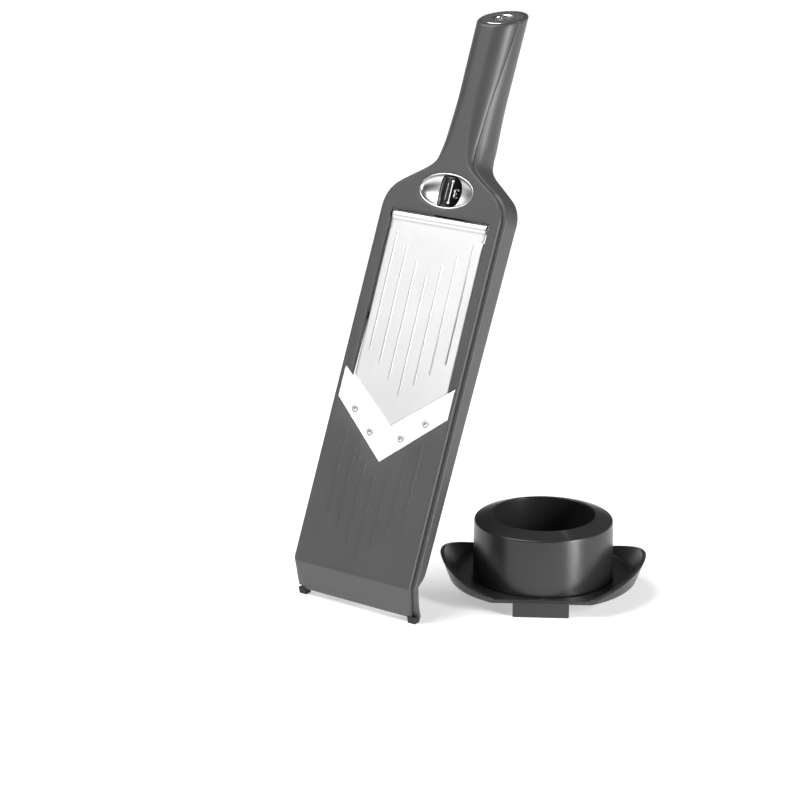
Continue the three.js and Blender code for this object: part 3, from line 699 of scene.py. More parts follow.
end_lip = 0.9
deck_rings = []
for angle in np.linspace(math.pi / 2, 0, 5):
    s = -(apron_length - end_lip * (1 - math.sin(angle)))
    deck_rings.append(upper_ring(s, crease_y, sink=end_lip * (1 - math.cos(angle))))
for s in (-18, -12, -6, -3, -1.2, -0.9, -0.6, -0.3, 0, 0.3, 0.6, 0.9, 1.2, 3, 10, 25, 45, 60,
          90, 130, 170, 205, 225, 237):
    deck_rings.append(upper_ring(s, crease_y + s))
for y in [*np.arange(262, 322, 2.0), *np.arange(325, 398, 4.0)]:
    deck_rings.append(upper_ring(y - crease_y, y))
for angle in np.linspace(0, math.pi / 2, 5):
    y = handle_end - end_rounding * (1 - math.sin(angle))
    deck_rings.append(upper_ring(y - crease_y, y, shrink=end_rounding * (1 - math.cos(angle))))
upper_shell = loft("upper_shell_moulding", deck_rings, "strip")

v_tip = 118.9
v_slope = 0.757
blade_outer_tip = 95.9
blade_outer_slope = 0.815
blade_half = 44.6
blade_thickness = 0.8
overhang = 5.0
opening_top = hinge_y + 3.3 + 0.6
opening_outline = rounded([
    (-opening_half, opening_top, 0.6),
    (-opening_half, v_tip + v_slope * opening_half - overhang, 0.3),
    (0, v_tip - overhang, 0.3),
    (opening_half, v_tip + v_slope * opening_half - overhang, 0.3),
    (opening_half, opening_top, 0.6),
])
blade_outline = [
    (-blade_half, v_tip + v_slope * blade_half),
    (-blade_half, blade_outer_tip + blade_outer_slope * blade_half),
    (0, blade_outer_tip),
    (blade_half, blade_outer_tip + blade_outer_slope * blade_half),
    (blade_half, v_tip + v_slope * blade_half),
    (0, v_tip),
]
dial_y = 278.3
window_x, window_y = 20.8, 10.9
cup_wall = 0.8
blade_screws = [(-12.6, 113.8), (12.6, 113.8), (-28.8, 126.6), (28.8, 126.6)]


def oval(extra, steps=72):
    return [((window_x + extra) * math.cos(a), dial_y + (window_y + extra) * math.sin(a))
            for a in round_angles(steps)]


blade_posts = [standing_bar("post", x, y, 3.2, -8.5, -1.2, 28, 0.3) for x, y in blade_screws]
added(upper_shell, *blade_posts)
recesses = [
    slab("cut", opening_outline, -30, 6, flare=0.4),
    slab("cut", grown(blade_outline, seam_gap), -blade_thickness - seam_gap, 6, flare=0.12),
    slab("cut", oval(cup_wall + seam_gap), -30, 6, flare=0.45),
    block("cut", -pin_half - 2.6, pin_half + 2.6, hinge_y - 1.9, hinge_y + 1.9, -30, -1.2),
]
for x, y in blade_screws:
    recesses.append(standing_bar("cut", x, y, 1.5, -7.5, 1, 20))
for x, y in shell_screws:
    recesses.append(standing_bar("cut", x, y, 1.4, -20, -1, 20))
for y in handle_screws:
    recesses.append(standing_bar("cut", 0, y, 1.6, -30, -4, 20))
cut(upper_shell, *recesses, *eyelet_seats())
foot_x = 45.0
foot_half = 2.8
foot_clearance = foot_height + seam_gap
for side in (-1, 1):
    edge = side * (foot_x - foot_half - seam_gap)
    cut(upper_shell, below_height(foot_clearance, min(edge, side * 80), max(edge, side * 80)))
fitted(upper_shell, slicer_place, "slicer", "body_plastic", body_plastic, "upper_shell")

# Seven low ribs on the deck keep wet food from sticking. They are part of the moulding, and
# their ends step back from the middle so that they follow the blade's V.

rib_width = 1.3
rib_height = 0.5


def rib(name, length):
    """One rib: a half-round bar with round ends, standing a little into its plate."""
    rings = []
    ends = [0, 0.1, 0.25, 0.4, 0.55, 0.75, 1.0]
    stations = [e * rib_width / 2 for e in ends]
    stations += [length - e * rib_width / 2 for e in reversed(ends)]
    for y in stations:
        near = min(y, length - y) / (rib_width / 2)
        size = max(math.sqrt(max(1 - (1 - min(near, 1)) ** 2, 0)), 0.05)
        half = rib_width / 2 * size
        ring = [(-half, y, -0.25), (half, y, -0.25)]
        ring += [(half * math.cos(a), y, rib_height * size * math.sin(a))
                 for a in np.linspace(0, math.pi, 9)]
        rings.append(ring)
    return loft(name, rings)


def copier(name, inputs):
    """A Geometry Nodes group with a part, a finish and more named inputs, and what enters it."""
    tree = bpy.data.node_groups.new(name, "GeometryNodeTree")
    kinds = {"Geometry": "Geometry", "Part": "Object", "Finish": "Material", **inputs}
    sockets = {
        label: tree.interface.new_socket(label, in_out="INPUT", socket_type=f"NodeSocket{kind}")
        for label, kind in kinds.items()
    }
    tree.interface.new_socket("Geometry", in_out="OUTPUT", socket_type="NodeSocketGeometry")
    return tree, sockets, add_node(tree, "NodeGroupInput").outputs


def copied(base, tree, sockets, entry, points, turn, values):
    """Sets the part on the points, coats the copies, and turns them into the base's mesh."""
    part = add_node(tree, "GeometryNodeObjectInfo", {"Object": entry["Part"]})
    copies = add_node(tree, "GeometryNodeInstanceOnPoints", {
        "Points": points, "Instance": part.outputs["Geometry"], "Rotation": turn,
    })
    real = add_node(tree, "GeometryNodeRealizeInstances", {0: copies.outputs[0]})
    finished = add_node(tree, "GeometryNodeSetMaterial", {
        "Geometry": real.outputs[0], "Material": entry["Finish"],
    })
    add_node(tree, "NodeGroupOutput", {0: finished.outputs[0]})
    maker = base.modifiers.new("copies", "NODES")
    maker.node_group = tree
    for label, value in values.items():
        maker[sockets[label].identifier] = value
    settled(base)
    bpy.data.objects.remove(values["Part"])
    return base


def rib_row(name, pattern, count, pitch, low, step, finish):
    """A row of ribs made by Geometry Nodes: the further from the middle, the higher it starts."""
    tree, sockets, entry = copier(name, {
        "Count": "Int", "Pitch": "Float", "Lowest": "Float", "Step": "Float",
    })

    def result(operation, *terms):
        made = add_node(tree, "ShaderNodeMath", dict(enumerate(terms)), operation=operation)
        return made.outputs[0]

    index = add_node(tree, "GeometryNodeInputIndex").outputs[0]
    middle = result("DIVIDE", result("SUBTRACT", entry["Count"], 1), 2)
    out = result("SUBTRACT", index, middle)
    rise = result("MULTIPLY", result("ABSOLUTE", out), entry["Step"])
    place = add_node(tree, "ShaderNodeCombineXYZ", {
        "X": result("MULTIPLY", out, entry["Pitch"]), "Y": result("ADD", rise, entry["Lowest"]),
    })
    points = add_node(tree, "GeometryNodePoints", {
        "Count": entry["Count"], "Position": place.outputs[0],
    })
    values = {"Part": pattern, "Finish": finish, "Count": count, "Pitch": pitch, "Lowest": low,
              "Step": step}
    row = solid(name, [(0, 0, 0)], [])
    return copied(row, tree, sockets, entry, points.outputs[0], None, values)


rib_count = 7
deck_ribs = rib_row("deck_ribs", rib("one_rib", 56.0), rib_count, 10.25, 31.0, 8.5,
                    body_plastic)
fitted(deck_ribs, slicer_place, "slicer", "body_plastic", body_plastic)

# ---- Feet ----
# Two small rubber pads, pressed on under the corner posts. Their soles lie flat on the table.

foot_rubber = moulded("foot_rubber", (0.012, 0.012, 0.012), 0.72, 1800, 0.00004, 0.1)
for side, label in ((-1, "left"), (1, "right")):
    top = foot_height + 0.25
    sole = [(0, 1.4, 0.9), (0, -3.6, 0.9), (top, -5.4, 0.2), (top, 2.6, 0.2)]
    corners = [
        (rise * lean_up[0] - out * lean_up[1],
         foot_contact + rise * lean_up[1] + out * lean_up[0], radius)
        for rise, out, radius in sole
    ]
    pad = slab(f"foot_pad_{label}", rounded(corners), side * foot_x - foot_half,
               side * foot_x + foot_half, 0.4, 0.4, axes="yzx")
    fitted(pad, slicer_place, "slicer", "foot_rubber", foot_rubber, f"foot_{label}")

# ---- Blade ----
# One V of hardened stainless steel, 0.8 mm thick, let in flush with the deck. Its upper edges
# are ground to a cutting bevel, and four small six-lobed screws hold it down.


def steel(name, colour, roughness, brush, depth, tint=0.06):
    """Brushed or ground steel: fine scratches drawn out along the brushing, and soft smears."""
    finish, tree, shader = new_finish(name, {"Metallic": 1.0})
    where = into_slicer(tree)
    stretch = add_node(tree, "ShaderNodeMapping", {"Vector": where, "Scale": brush})
    lines = noise(tree, stretch.outputs[0], 1.0, 3)
    smear = noise(tree, where, 16, 3)
    tone = two_tone(tree, lines, tinted(colour, 1 - tint), tinted(colour, 1 + tint))
    mixed = add_node(tree, "ShaderNodeMath", {0: lines, 1: 0.45, 2: smear},
                     operation="MULTIPLY_ADD")
    gloss = ranged(tree, mixed.outputs[0], from_min=0.4, from_max=1.05,
                   to_min=roughness - 0.06, to_max=roughness + 0.08)
    coat(tree, shader, tone, gloss, lines, 0.35, depth)
    return finish


blade_steel = steel("blade_steel", (0.93, 0.93, 0.94), 0.42, (60, 3200, 3200), 0.000006)
bevel_run = 1.9
bevel_drop = 0.55
face_rows = []
for x in (-blade_half, -30.0, -15.0, 0.0, 15.0, 30.0, blade_half):
    out = abs(x)
    inner = v_tip + v_slope * out
    outer = blade_outer_tip + blade_outer_slope * out
    face_rows.append([
        (x, outer, -blade_thickness),
        (x, outer, -0.12),
        (x, outer + 0.15, 0.0),
        (x, inner - bevel_run * math.hypot(1, v_slope), 0.0),
        (x, inner, -bevel_drop),
        (x, inner, -blade_thickness),
    ])
v_blade = loft("v_blade_ground", face_rows)
for x, y in blade_screws:
    cut(v_blade, standing_bar("cut", x, y, 2.6, -5, 5, 32))
fitted(v_blade, slicer_place, "slicer", "blade_steel", blade_steel, "v_blade", angle=12)

screw_steel = steel("screw_steel", (0.62, 0.62, 0.63), 0.3, (900, 900, 900), 0.000004)


def lobed_screw(name, head, recess, rise, shank, length):
    """A screw with a low round head, a six-lobed recess and a plain shank."""
    def ring(radius, z, lobes=0.0):
        return [
            (radius * (1 + lobes * math.cos(6 * a)) * math.cos(a),
             radius * (1 + lobes * math.cos(6 * a)) * math.sin(a), z)
            for a in round_angles(48)
        ]

    return loft(name, [
        ring(0.02, -length),
        ring(shank * 0.6, -length),
        ring(shank, -length + 0.6),
        ring(shank, rise - 0.95),
        ring(head * 0.96, rise - 0.9),
        ring(head, rise - 0.75),
        ring(head, rise - 0.22),
        ring(head * 0.94, rise - 0.06),
        ring(head * 0.8, rise),
        ring(recess * 1.12, rise, 0.06),
        ring(recess, rise - 0.05, 0.13),
        ring(recess * 0.92, rise - 0.7, 0.13),
        ring(0.02, rise - 0.8),
    ])


def scattered(name, pattern, places, finish):
    """Copies of one part, set on points and turned by Geometry Nodes, then made one mesh."""
    tree, sockets, entry = copier(name, {})
    turn = add_node(tree, "GeometryNodeInputNamedAttribute", {"Name": "turn"},
                    data_type="FLOAT_VECTOR")
    mesh = bpy.data.meshes.new(name)
    mesh.from_pydata([place[:3] for place in places], [], [])
    turns = mesh.attributes.new("turn", "FLOAT_VECTOR", "POINT")
    for i, place in enumerate(places):
        turns.data[i].vector = place[3]
    return copied(shown(name, mesh), tree, sockets, entry, entry["Geometry"], turn.outputs[0],
                  {"Part": pattern, "Finish": finish})


screw_turns = (0.3, 0.9, 0.1, 0.6)
places = [(x, y, 0.1, (0, 0, turn)) for (x, y), turn in zip(blade_screws, screw_turns)]
blade_fixings = scattered("blade_screws", lobed_screw("one_screw", 2.4, 1.05, 0.0, 1.2, 7.1),
                          places, screw_steel)
fitted(blade_fixings, slicer_place, "slicer", "screw_steel", screw_steel,
       "blade_screw_left_1", "blade_screw_right_1", "blade_screw_left_2", "blade_screw_right_2")

# ---- Ramp plate ----
# The plate that food slides down on to the blade: thin brushed stainless steel with seven
# pressed ribs, its long edges rolled down and its upper end curled round the hinge pin.

plate_steel = steel("plate_steel", (0.74, 0.74, 0.75), 0.36, (2600, 45, 2600), 0.000008)
rest_cut, most_cut = 3.0, 9.0
plate_at_hinge = -1.2
lever_arm = hinge_y - (v_tip + v_slope * opening_half / 2)
rest_tilt = (rest_cut + plate_at_hinge) / lever_arm
plate_place = (
    slicer_place
    @ Matrix.Translation((0, hinge_y, hinge_z))
    @ Matrix.Rotation(rest_tilt, 4, "X")
)
plate_half = 38.5
plate_thickness = 0.9
plate_face = plate_at_hinge - hinge_z
knuckle_radius = 3.3
knuckle_short = 0.8
side_roll = 1.5
flange_edge = 1.2
tip_dip, tip_dip_run = 0.25, 14.0
flange_low = plate_face - 4.5
tip_gap = 1.6
columns = [(-plate_half, flange_low), (-plate_half, flange_low + flange_edge),
           (-plate_half, plate_face - side_roll)]
columns += [(-plate_half + side_roll * (1 - math.cos(t)),
             plate_face - side_roll * (1 - math.sin(t)))
            for t in np.linspace(0, math.pi / 2, 7)[1:]]
roll_columns = len(columns) - 1
columns += [(x, plate_face) for x in np.linspace(-plate_half + side_roll, 0, 16)[1:]]
columns += [(-x, z) for x, z in columns[-2::-1]]
flange_end = -9.3
rows_up = [0.0, 0.01, 0.03, 0.06, 0.1, 0.16, 0.24, 0.34, 0.46, 0.58, 0.7, 0.8, 0.88, 0.94, 1.0]
curl_lead = 0.28
curl_sweep = math.radians(318)
meet = -math.sqrt(knuckle_radius**2 - plate_face**2)
curl_start = math.atan2(plate_face, meet) - curl_lead
curl = [(y, plate_face) for y in (-8.0, -6.5, -5.2, -4.2)]
run_in = np.array([-3.6, plate_face])
bend = np.array([meet - 0.05, plate_face + 0.02])
run_out = knuckle_radius * np.array([math.cos(curl_start), math.sin(curl_start)])
for t in np.linspace(0, 1, 4):
    curl.append(tuple((1 - t) ** 2 * run_in + 2 * t * (1 - t) * bend + t * t * run_out))
for angle in np.linspace(curl_start, curl_start + curl_lead - curl_sweep, 34)[1:]:
    curl.append((knuckle_radius * math.cos(angle), knuckle_radius * math.sin(angle)))
points, faces = [], []
width = len(columns)
for share in rows_up:
    for x, z in columns:
        low = v_tip + tip_gap + v_slope * min(abs(x), plate_half) - hinge_y
        y = low + (flange_end - low) * share
        middle = 1 - min(abs(x) / plate_half, 1) ** 2
        dip = tip_dip * math.exp(-(((y - low) / tip_dip_run) ** 2)) * middle
        points.append((x, y, z - dip))
inner = plate_half - side_roll
for y, z in curl:
    for x, _ in columns:
        wide = min(max(x, -inner), inner) * (plate_half - knuckle_short) / inner
        points.append((wide, y, z))
total_rows = len(rows_up) + len(curl)
for r in range(total_rows - 1):
    for i in range(width - 1):
        on_roll = i < roll_columns or i >= width - 1 - roll_columns
        if r >= len(rows_up) - 1 and on_roll:
            continue
        faces.append((r * width + i, r * width + i + 1, (r + 1) * width + i + 1,
                      (r + 1) * width + i))
mesh = bpy.data.meshes.new("ramp_plate_pressed")
mesh.from_pydata(points, [], faces)
work = bmesh.new()
work.from_mesh(mesh)
bmesh.ops.delete(work, geom=[v for v in work.verts if not v.link_faces], context="VERTS")
bmesh.ops.recalc_face_normals(work, faces=work.faces)
if sum(f.normal.z * f.calc_area() for f in work.faces) < 0:
    bmesh.ops.reverse_faces(work, faces=work.faces)
work.to_mesh(mesh)
work.free()
ramp_plate = shown("ramp_plate_pressed", mesh)
thicken = ramp_plate.modifiers.new("thickness", "SOLIDIFY")
thicken.thickness = plate_thickness
thicken.offset = -1
thicken.use_even_offset = True
softened(ramp_plate, 0.12, 2, 50)
fitted(ramp_plate, plate_place, "ramp", "plate_steel", plate_steel, "ramp_plate", angle=40)

plate_ribs = rib_row("plate_ribs", rib("one_rib", 81.0), rib_count, 10.3, 140.7 - hinge_y,
                     8.6, plate_steel)
rib_seat = plate_place @ Matrix.Translation((0, 0, plate_face))
fitted(plate_ribs, rib_seat, "ramp", "plate_steel", plate_steel)

# The hinge pin is a plain ground steel rod through the curl, held in the lower shell.
pin = turned("hinge_pin_ground", pole(1.6, -pin_half, pin_half, 0.3), 32,
             Matrix.Translation((0, hinge_y, hinge_z)) @ along_x)
fitted(pin, slicer_place, "slicer", "screw_steel", screw_steel, "hinge_pin")

# The shoe is a small block of slippery plastic under the plate, which rides on the wedge.
inner_plastic = moulded("inner_plastic", (0.03, 0.03, 0.032), 0.42, 3000, 0.00002, 0.2)
lift_y = 225.0
shoe_half_x, shoe_half_y, shoe_height = 6.0, 2.0, 2.3
shoe_y = lift_y - hinge_y
shoe_top = plate_face - plate_thickness - seam_gap
shoe_outline = box_outline(-shoe_half_x, shoe_half_x, shoe_y - shoe_half_y, shoe_y + shoe_half_y,
                           0.5)
shoe = slab("lift_shoe_moulded", shoe_outline, shoe_top - shoe_height, shoe_top, 0.4, 0.1)
fitted(shoe, plate_place, "ramp", "inner_plastic", inner_plastic, "lift_shoe")

# ---- Dial ----
# A gloss black drum in an oval steel cup. Turning it drives the threaded spindle behind the
# plate. Its marks are pad-printed in white: a figure for every third millimetre, with fine
# lines between them and a heavy line with round ends beside each figure.

dial_plastic = moulded("dial_plastic", (0.008, 0.008, 0.009), 0.16, 900, 0.000004, 0.15)
drum_radius = 10.5
drum_half = 10.2
drum_bore = 2.5
drum_place = Matrix.Translation((0, dial_y, 0)) @ on_spindle
drum_profile = rounded([
    (drum_bore, -drum_half, 0.2), (drum_radius, -drum_half, 1.1),
    (drum_radius, drum_half, 1.1), (drum_bore, drum_half, 0.2),
], 5)
drum = turned("dial_drum_moulded", drum_profile, 96, drum_place)
fitted(drum, slicer_place, "dial", "dial_plastic", dial_plastic, "dial_drum")

mark_white = moulded("mark_white", (0.78, 0.78, 0.76), 0.5, 2000, 0.000004, 0.0)
print_lift = 0.02
print_root = -0.15
figure_angle = math.radians(35.3)
index_angle = math.radians(20)
step_degrees = 36


def round_drum(thing, angle):
    """Bends a flat mark, x across and y along the drum, round the drum's face."""
    for vertex in thing.data.vertices:
        x, y, z = vertex.co
        turn = angle + x / drum_radius
        radius = drum_radius + z
        vertex.co = (radius * math.sin(turn), dial_y + y, spindle_z + radius * math.cos(turn))
    return thing


def mark(name, half_x, half_y, ball=0.0):
    outline = box_outline(-half_x, half_x, -half_y, half_y, half_x * 0.9)
    made = slab(name, outline, print_root, print_lift)
    if ball:
        for end in (-half_y, half_y):
            dot = [(ball * math.cos(a), end + ball * math.sin(a)) for a in round_angles(24)]
            added(made, slab("dot", dot, print_root, print_lift))
    return made


def figure(text):
    """A plain printed figure, read from the handle's end."""
    curve = bpy.data.curves.new(f"figure_{text}", "FONT")
    curve.body = text
    curve.size = 8.6
    curve.align_x = curve.align_y = "CENTER"
    curve.extrude = 0.085
    curve.offset = 0.05
    flat = shown(curve.name, curve)
    graph = bpy.context.evaluated_depsgraph_get()
    mesh = bpy.data.meshes.new_from_object(flat.evaluated_get(graph))
    bpy.data.objects.remove(flat)
    mesh.transform(Matrix.Translation((0, 0, -0.065)) @ Matrix.Rotation(math.pi, 4, "Z"))
    return shown(f"figure_{text}", mesh)


marks = []
for cut_mm in range(10):
    angle = figure_angle + (cut_mm - rest_cut) * math.radians(step_degrees)
    if cut_mm % 3:
        marks.append(round_drum(mark("line", 0.11, 5.6), angle))
    else:
        marks.append(round_drum(figure(str(cut_mm)), angle))
        marks.append(round_drum(mark("index", 0.32, 7.2, 0.85), angle - index_angle))
for i, part in enumerate(marks):
    part.name = f"dial_mark_{i}"
    fitted(part, slicer_place, "dial", "dial_plastic", mark_white)

cup_steel = steel("cup_steel", (0.66, 0.66, 0.67), 0.3, (70, 2400, 2400), 0.00001, 0.12)
scoop = 5.4


def bowl_ring(share, z, extra):
    half_x, half_y = window_x * share + extra, window_y * share + extra
    return [(half_x * math.cos(a), dial_y + half_y * math.sin(a), z) for a in round_angles(96)]


cup_rings = []
for share in (0.02, 0.2, 0.4, 0.58, 0.72, 0.83, 0.91, 0.96, 0.99, 1.0):
    cup_rings.append(bowl_ring(share, -0.45 - scoop * math.sqrt(1 - share**2), 0))
for level, extra in ((-0.28, 0.06), (-0.2, 0.25), (-0.2, 0.6), (-0.32, cup_wall),
                     (-2.0, cup_wall)):
    cup_rings.append(bowl_ring(1, level, extra))
for share in (0.98, 0.94, 0.86, 0.74, 0.6, 0.4, 0.2, 0.02):
    level = -0.6 - (scoop + cup_wall) * math.sqrt(1 - share**2)
    cup_rings.append(bowl_ring(share, level, cup_wall * share))
cup = loft("dial_cup_drawn", cup_rings)
drum_gap = 0.5
drum_room = drum_half + seam_gap
cut(cup, spindle_bore(dial_y - drum_room, dial_y + drum_room, drum_radius + drum_gap, 96))
fitted(cup, slicer_place, "slicer", "blade_steel", cup_steel, "dial_cup")

# ---- Spindle, bushes, clip, wedge and spring ----
# The dial turns a steel spindle with a coarse thread, which runs in two brass bushes and is
# kept in place by a spring clip. The wedge rides on the thread, and lifts or lowers the plate.

spindle_radius = 2.2
lead, starts = 12.0, 6
spindle_low, spindle_high = 183.0, 296.0
thread_low, thread_high = 193.5, 260.5
groove_low, groove_high = spindle_low + 1.0, spindle_low + 2.0
rings = []
stations = [spindle_low, groove_low - 0.05, groove_low, groove_high, groove_high + 0.05,
            thread_low - 0.3, *np.arange(thread_low, thread_high, 0.4), thread_high + 0.3,
            spindle_high - 0.4, spindle_high]
for y in stations:
    ring = []
    for angle in round_angles(36):
        radius = spindle_radius
        if thread_low <= y < thread_high:
            phase = (starts * (y / lead - angle / (2 * math.pi))) % 1.0
            radius -= 0.5 * (1 - abs(2 * phase - 1))
        elif groove_low <= y <= groove_high:
            radius -= 0.6
        elif y in (spindle_low, spindle_high):
            radius -= 0.35
        ring.append((radius * math.sin(angle), y, spindle_z + radius * math.cos(angle)))
    rings.append(ring)
spindle = loft("dial_spindle_cut", rings)
fitted(spindle, slicer_place, "dial", "screw_steel", screw_steel, "dial_spindle", angle=25)

brass = steel("bush_brass", (0.62, 0.47, 0.22), 0.33, (2200, 90, 2200), 0.000006, 0.08)
for label, y0, y1 in (("lower", bridge_y0, bridge_y1), ("upper", bearing_y0, bearing_y1)):
    bush_profile = rounded([(2.5, y0, 0.15), (3.9, y0, 0.25), (3.9, y1, 0.25), (2.5, y1, 0.15)], 3)
    bush = turned(f"bush_{label}", bush_profile, 40, on_spindle)
    fitted(bush, slicer_place, "slicer", "bush_brass", brass, f"spindle_bush_{label}")

clip_y = spindle_low + 1.2
clip_bore, clip_radius, clip_thickness = 1.75, 3.6, 0.6
clip_outline = box_outline(clip_bore, clip_radius, clip_y, clip_y + clip_thickness)
clip_profile = rounded([(x, y, 0.1) for x, y in clip_outline], 2)
clip = turned("spindle_clip_sprung", clip_profile, 48, on_spindle)
cut(clip, block("cut", -1.2, 1.2, clip_y - 1, clip_y + 2, spindle_z - 10, spindle_z))
fitted(clip, slicer_place, "dial", "screw_steel", screw_steel, "spindle_clip")

stroke = lead * step_degrees / 360
wedge_slope = (hinge_y - lift_y) / lever_arm / stroke
plate_under = (hinge_z + plate_face - plate_thickness
               - (hinge_y - lift_y) * math.tan(rest_tilt))
top_at_lift = plate_under - shoe_height - 2 * seam_gap
wedge_back = lift_y - shoe_half_y - stroke * (most_cut - rest_cut)
wedge_front = lift_y + shoe_half_y + stroke * rest_cut
wedge_bottom = spindle_z - spindle_radius - 1.4
wedge_end = 2.5


def wedge_top(y):
    return top_at_lift + wedge_slope * (y - lift_y - shoe_half_y)


wedge_outline = rounded([
    (wedge_back - wedge_end, wedge_bottom, 0.4), (wedge_front + wedge_end, wedge_bottom, 0.4),
    (wedge_front + wedge_end, wedge_top(wedge_front), 0.4),
    (wedge_front, wedge_top(wedge_front), 0), (wedge_back, wedge_top(wedge_back), 0),
    (wedge_back - wedge_end, wedge_top(wedge_back), 0.4),
])
wedge = slab("lift_wedge_moulded", wedge_outline, -8, 8, 0.3, 0.3, axes="yzx")
cut(wedge, spindle_bore(wedge_back - 10, wedge_front + 10, 2.5))
fitted(wedge, slicer_place, "wedge", "inner_plastic", inner_plastic, "lift_wedge")

crown = spindle_z - drum_radius - 0.3
leaf_half, leaf_drop, leaf_thickness = 6, 1.3, 0.5
leaf = [(x, crown - leaf_drop * abs(x) / leaf_half) for x in np.linspace(-leaf_half, leaf_half, 13)]
leaf_outline = leaf + [(x, z - leaf_thickness) for x, z in reversed(leaf)]
spring = slab("detent_spring_leaf", leaf_outline[::-1], dial_y - 2.5, dial_y + 2.5, axes="xzy")
fitted(spring, slicer_place, "slicer", "screw_steel", screw_steel, "detent_spring", angle=50)

# ---- Body screws ----
# Six short screws through the rails and two long ones in wells in the back of the handle hold
# the shells together. All have low heads with six-lobed recesses, facing backwards.

rail_back = -6.9
places = [(x, y, rail_back, (math.pi, 0, 0.4 * i)) for i, (x, y) in enumerate(shell_screws)]
rail_fixings = scattered("shell_screws", lobed_screw("one_screw", 2.3, 1.0, 0.0, 1.1, 5.4),
                         places, screw_steel)
fitted(rail_fixings, slicer_place, "slicer", "screw_steel", screw_steel,
       *[f"shell_screw_{side}_{i}" for i in (1, 2, 3) for side in ("left", "right")])
handle_head = 1.6
places = [(0, y, screw_well - seam_gap - handle_head, (math.pi, 0, 0.5 + y))
          for y in handle_screws]
handle_fixings = scattered("handle_screws", lobed_screw("one_screw", 2.8, 1.25, 0.0, 1.3, 17.0),
                           places, screw_steel)
fitted(handle_fixings, slicer_place, "slicer", "screw_steel", screw_steel,
       "handle_screw_1", "handle_screw_2")

# ---- Hanging eyelet ----
# A drawn stainless steel eyelet lines the hanging hole and covers the handle's sloping end.

eyelet_steel = steel("eyelet_steel", (0.72, 0.72, 0.73), 0.22, (1500, 1500, 1500), 0.000004)
lip = 1.3
eyelet_profile = rounded([
    (eyelet_bore, -55.0, 0.2), (eyelet_bore + 1, -55.0, 0.2), (eyelet_bore + 1, -1.4, 0.3),
    (eyelet_flange, -1.4, 0.2), (eyelet_flange, 0.1, 0.5), (eyelet_bore, 0.1, lip),
], 6)
eyelet = turned("hanging_eyelet_drawn", eyelet_profile, 96, end_place)
inside_handle = []
for y in np.arange(330, 412, 3.0):
    grip = grip_at(y) - 0.15
    inside_handle.append([
        on_body(y - crease_y, grip * math.cos(a), grip_axis + grip * math.sin(a))
        for a in round_angles(64)
    ])
combined(eyelet, loft("handle_space", inside_handle), "INTERSECT")
fitted(eyelet, slicer_place, "slicer", "plate_steel", eyelet_steel, "hanging_eyelet")

# ---- Holder tray ----
# The food holder's tray, a shallow dish with two upswept wings for the fingers and a tab front
# and back that hooks over the deck's edges. Moulded in the same black satin plastic as its ring.

front_tab = Vector(mounts["holder_front_tab"]["pos_m"])
back_tab = Vector(mounts["holder_back_tab"]["pos_m"])
holder_y = (back_tab - front_tab).normalized()
holder_x = holder_y.cross(Vector((0, 0, 1)))
holder_place = frame_of((front_tab + back_tab) / 2, holder_x, holder_y, Vector((0, 0, 1)))
holder_plastic = moulded("holder_plastic", (0.019, 0.019, 0.02), 0.3, 2400, 0.00002, 0.4)
tray_under, tray_thickness = 9.2, 2.5
tray_floor = tray_under + tray_thickness
floor_radius = 61.5
wing_radius = 68.5
wing_top = 26.5
tray_half = 50.6
ring_bore = 33.9
tray_profile = rounded([
    (ring_bore + 0.3, tray_under, 0), (floor_radius, tray_under, 3.0), (wing_radius, 27.5, 0),
    (wing_radius - tray_thickness, 27.5, 0), (floor_radius - 1.9, tray_floor, 2.0),
    (ring_bore + 0.3, tray_floor, 0),
], 8)
tray = turned("holder_tray_moulded", tray_profile, 160)
edge_top = 13.0
roof = [(y, edge_top + (wing_top - edge_top) * (1 - (abs(y) / tray_half) ** 1.9))
        for y in np.linspace(tray_half, -tray_half, 41)]
trim = slab("trim", [(-tray_half, 0.0), (tray_half, 0.0), *roof], -90, 90, axes="yzx")
combined(tray, trim, "INTERSECT")
tab_half, tab_thickness = 18.3, 2.5
for side in (-1, 1):
    y0, y1 = sorted((side * (tray_half + 0.6), side * (tray_half - tab_thickness)))
    tab_outline = box_outline(-tab_half, tab_half, 0, tray_under + 1.2, 1.0)
    added(tray, slab("tab", tab_outline, y0, y1, axes="xzy"))
softened(tray, 0.5, 3, 40)
fitted(tray, holder_place, "holder", "holder_plastic", holder_plastic, "holder_tray")

# ---- Holder ring ----
# A heavy round collar, turned up from the tray, that the pusher slides in. Its top slopes up
# from a soft outer shoulder to a thin inner lip.

ring_profile = rounded([
    (ring_bore, 12.0, 0), (46.6, 12.0, 0.8), (45.8, 50.2, 1.3), (34.9, 53.9, 0.7),
    (ring_bore, 53.3, 0.4),
], 6)
collar = turned("holder_ring_moulded", ring_profile, 144)
fitted(collar, holder_place, "holder", "holder_plastic", holder_plastic, "holder_ring")

# ---- Pusher and its spikes ----
# A loose disc inside the ring presses the food down. Under it, a pressed steel plate carries
# nineteen short spikes that keep the last of the food from turning.

pusher_radius = ring_bore - 0.5
pusher_z, pusher_thickness, pusher_rim = 19.3, 3.6, 3.0
floor_z = pusher_z + pusher_thickness
pusher_profile = rounded([
    (0, pusher_z, 0), (pusher_radius, pusher_z, 0.6), (pusher_radius, floor_z + pusher_rim, 0.8),
    (pusher_radius - 2.6, floor_z + pusher_rim, 0.8), (pusher_radius - 2.6, floor_z, 1.0),
    (16, floor_z, 0.6), (15.2, floor_z - 0.6, 0.4), (13.2, floor_z - 0.6, 0.4),
    (12.4, floor_z, 0.6), (0, floor_z, 0),
], 4)
pusher = turned("pusher_disc_moulded", pusher_profile, 96)
fitted(pusher, holder_place, "pusher", "holder_plastic", holder_plastic, "pusher_disc")

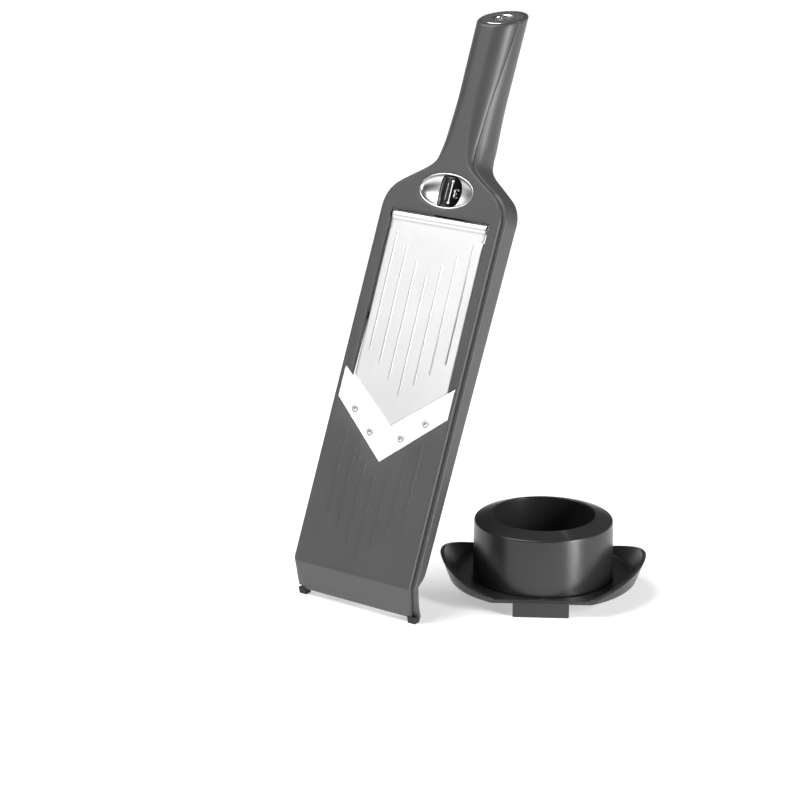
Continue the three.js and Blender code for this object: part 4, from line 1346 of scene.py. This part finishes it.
spike_top = pusher_z - 0.3
disc = turned("spike_disc", pole(pusher_radius - 3, spike_top - 1, spike_top, 0.2), 72)
fitted(disc, holder_place, "pusher", "screw_steel", screw_steel, "spike_plate")
spike_length = 7.0
spike_profile = rounded([(0, 0.3, 0), (1.1, 0.3, 0), (1.1, 0, 0.2), (0.15, -spike_length, 0.1),
                         (0, -spike_length, 0)], 2)
spike = turned("one_spike", spike_profile, 12)
places = [
    (radius * math.cos(a), radius * math.sin(a), spike_top - 1, (0, 0, 0))
    for radius, count in ((0, 1), (12, 6), (24, 12))
    for a in round_angles(count)
]
spikes = scattered("spikes", spike, places, screw_steel)
fitted(spikes, holder_place, "pusher", "screw_steel", screw_steel, "spike_plate")

# ---- Floor, light and camera ----

floor = solid("floor", [(-8, -8, 0), (8, -8, 0), (8, 8, 0), (-8, 8, 0)], [(0, 1, 2, 3)])
floor_paint = new_finish("floor_paint", {
    "Base Color": (0.92, 0.92, 0.92, 1), "Roughness": 0.16, "Specular IOR Level": 0.8,
    "Emission Color": (1, 1, 1, 1), "Emission Strength": 0.42,
})[0]
floor.data.materials.append(floor_paint)

sky = bpy.data.worlds.new("studio")
bpy.context.scene.world = sky
sky.use_nodes = True
where = add_node(sky.node_tree, "ShaderNodeTexCoord")
towards = add_node(sky.node_tree, "ShaderNodeVectorMath", {
    0: where.outputs["Generated"], 1: (-0.7, 0.5, 0.5),
}, operation="DOT_PRODUCT")
glow = ranged(sky.node_tree, towards.outputs["Value"], from_min=-0.2, from_max=0.9, to_min=0.06,
              to_max=2.6)
sky.node_tree.links.new(glow, sky.node_tree.nodes["Background"].inputs["Strength"])


def softbox(name, place, target, size, power):
    lamp = bpy.data.lights.new(name, "AREA")
    lamp.shape = "RECTANGLE"
    lamp.size, lamp.size_y = size
    lamp.energy = power
    box = shown(name, lamp)
    box.location = place
    box.rotation_euler = (Vector(target) - Vector(place)).to_track_quat("-Z", "Y").to_euler()


sunlight = bpy.data.lights.new("window", "SUN")
sunlight.energy = 3.6
sunlight.angle = math.radians(50)
window = shown("window", sunlight)
window.rotation_euler = Vector((0.4, 0.35, -0.85)).to_track_quat("-Z", "Y").to_euler()
softbox("strip", (1.5, -0.1, 0.45), (0.03, 0, 0.05), (0.3, 0.9), 30)
softbox("front_left", (-0.95, -1.2, 0.62), (0, 0, 0.12), (1.0, 1.0), 2.6)

feet_middle = (Vector(mounts["left_foot"]["pos_m"]) + Vector(mounts["right_foot"]["pos_m"])) / 2
camera = shown("camera", bpy.data.cameras.new("camera"))
camera.location = feet_middle + Vector((1.05535, -1.34933, 0.66594))
camera.rotation_euler = (math.radians(73.0), 0, math.radians(37.1))
camera.data.lens = 126
camera.data.sensor_width = 36
camera.data.clip_start, camera.data.clip_end = 0.05, 40
bpy.context.scene.camera = camera
bpy.context.scene.view_settings.view_transform = "Standard"
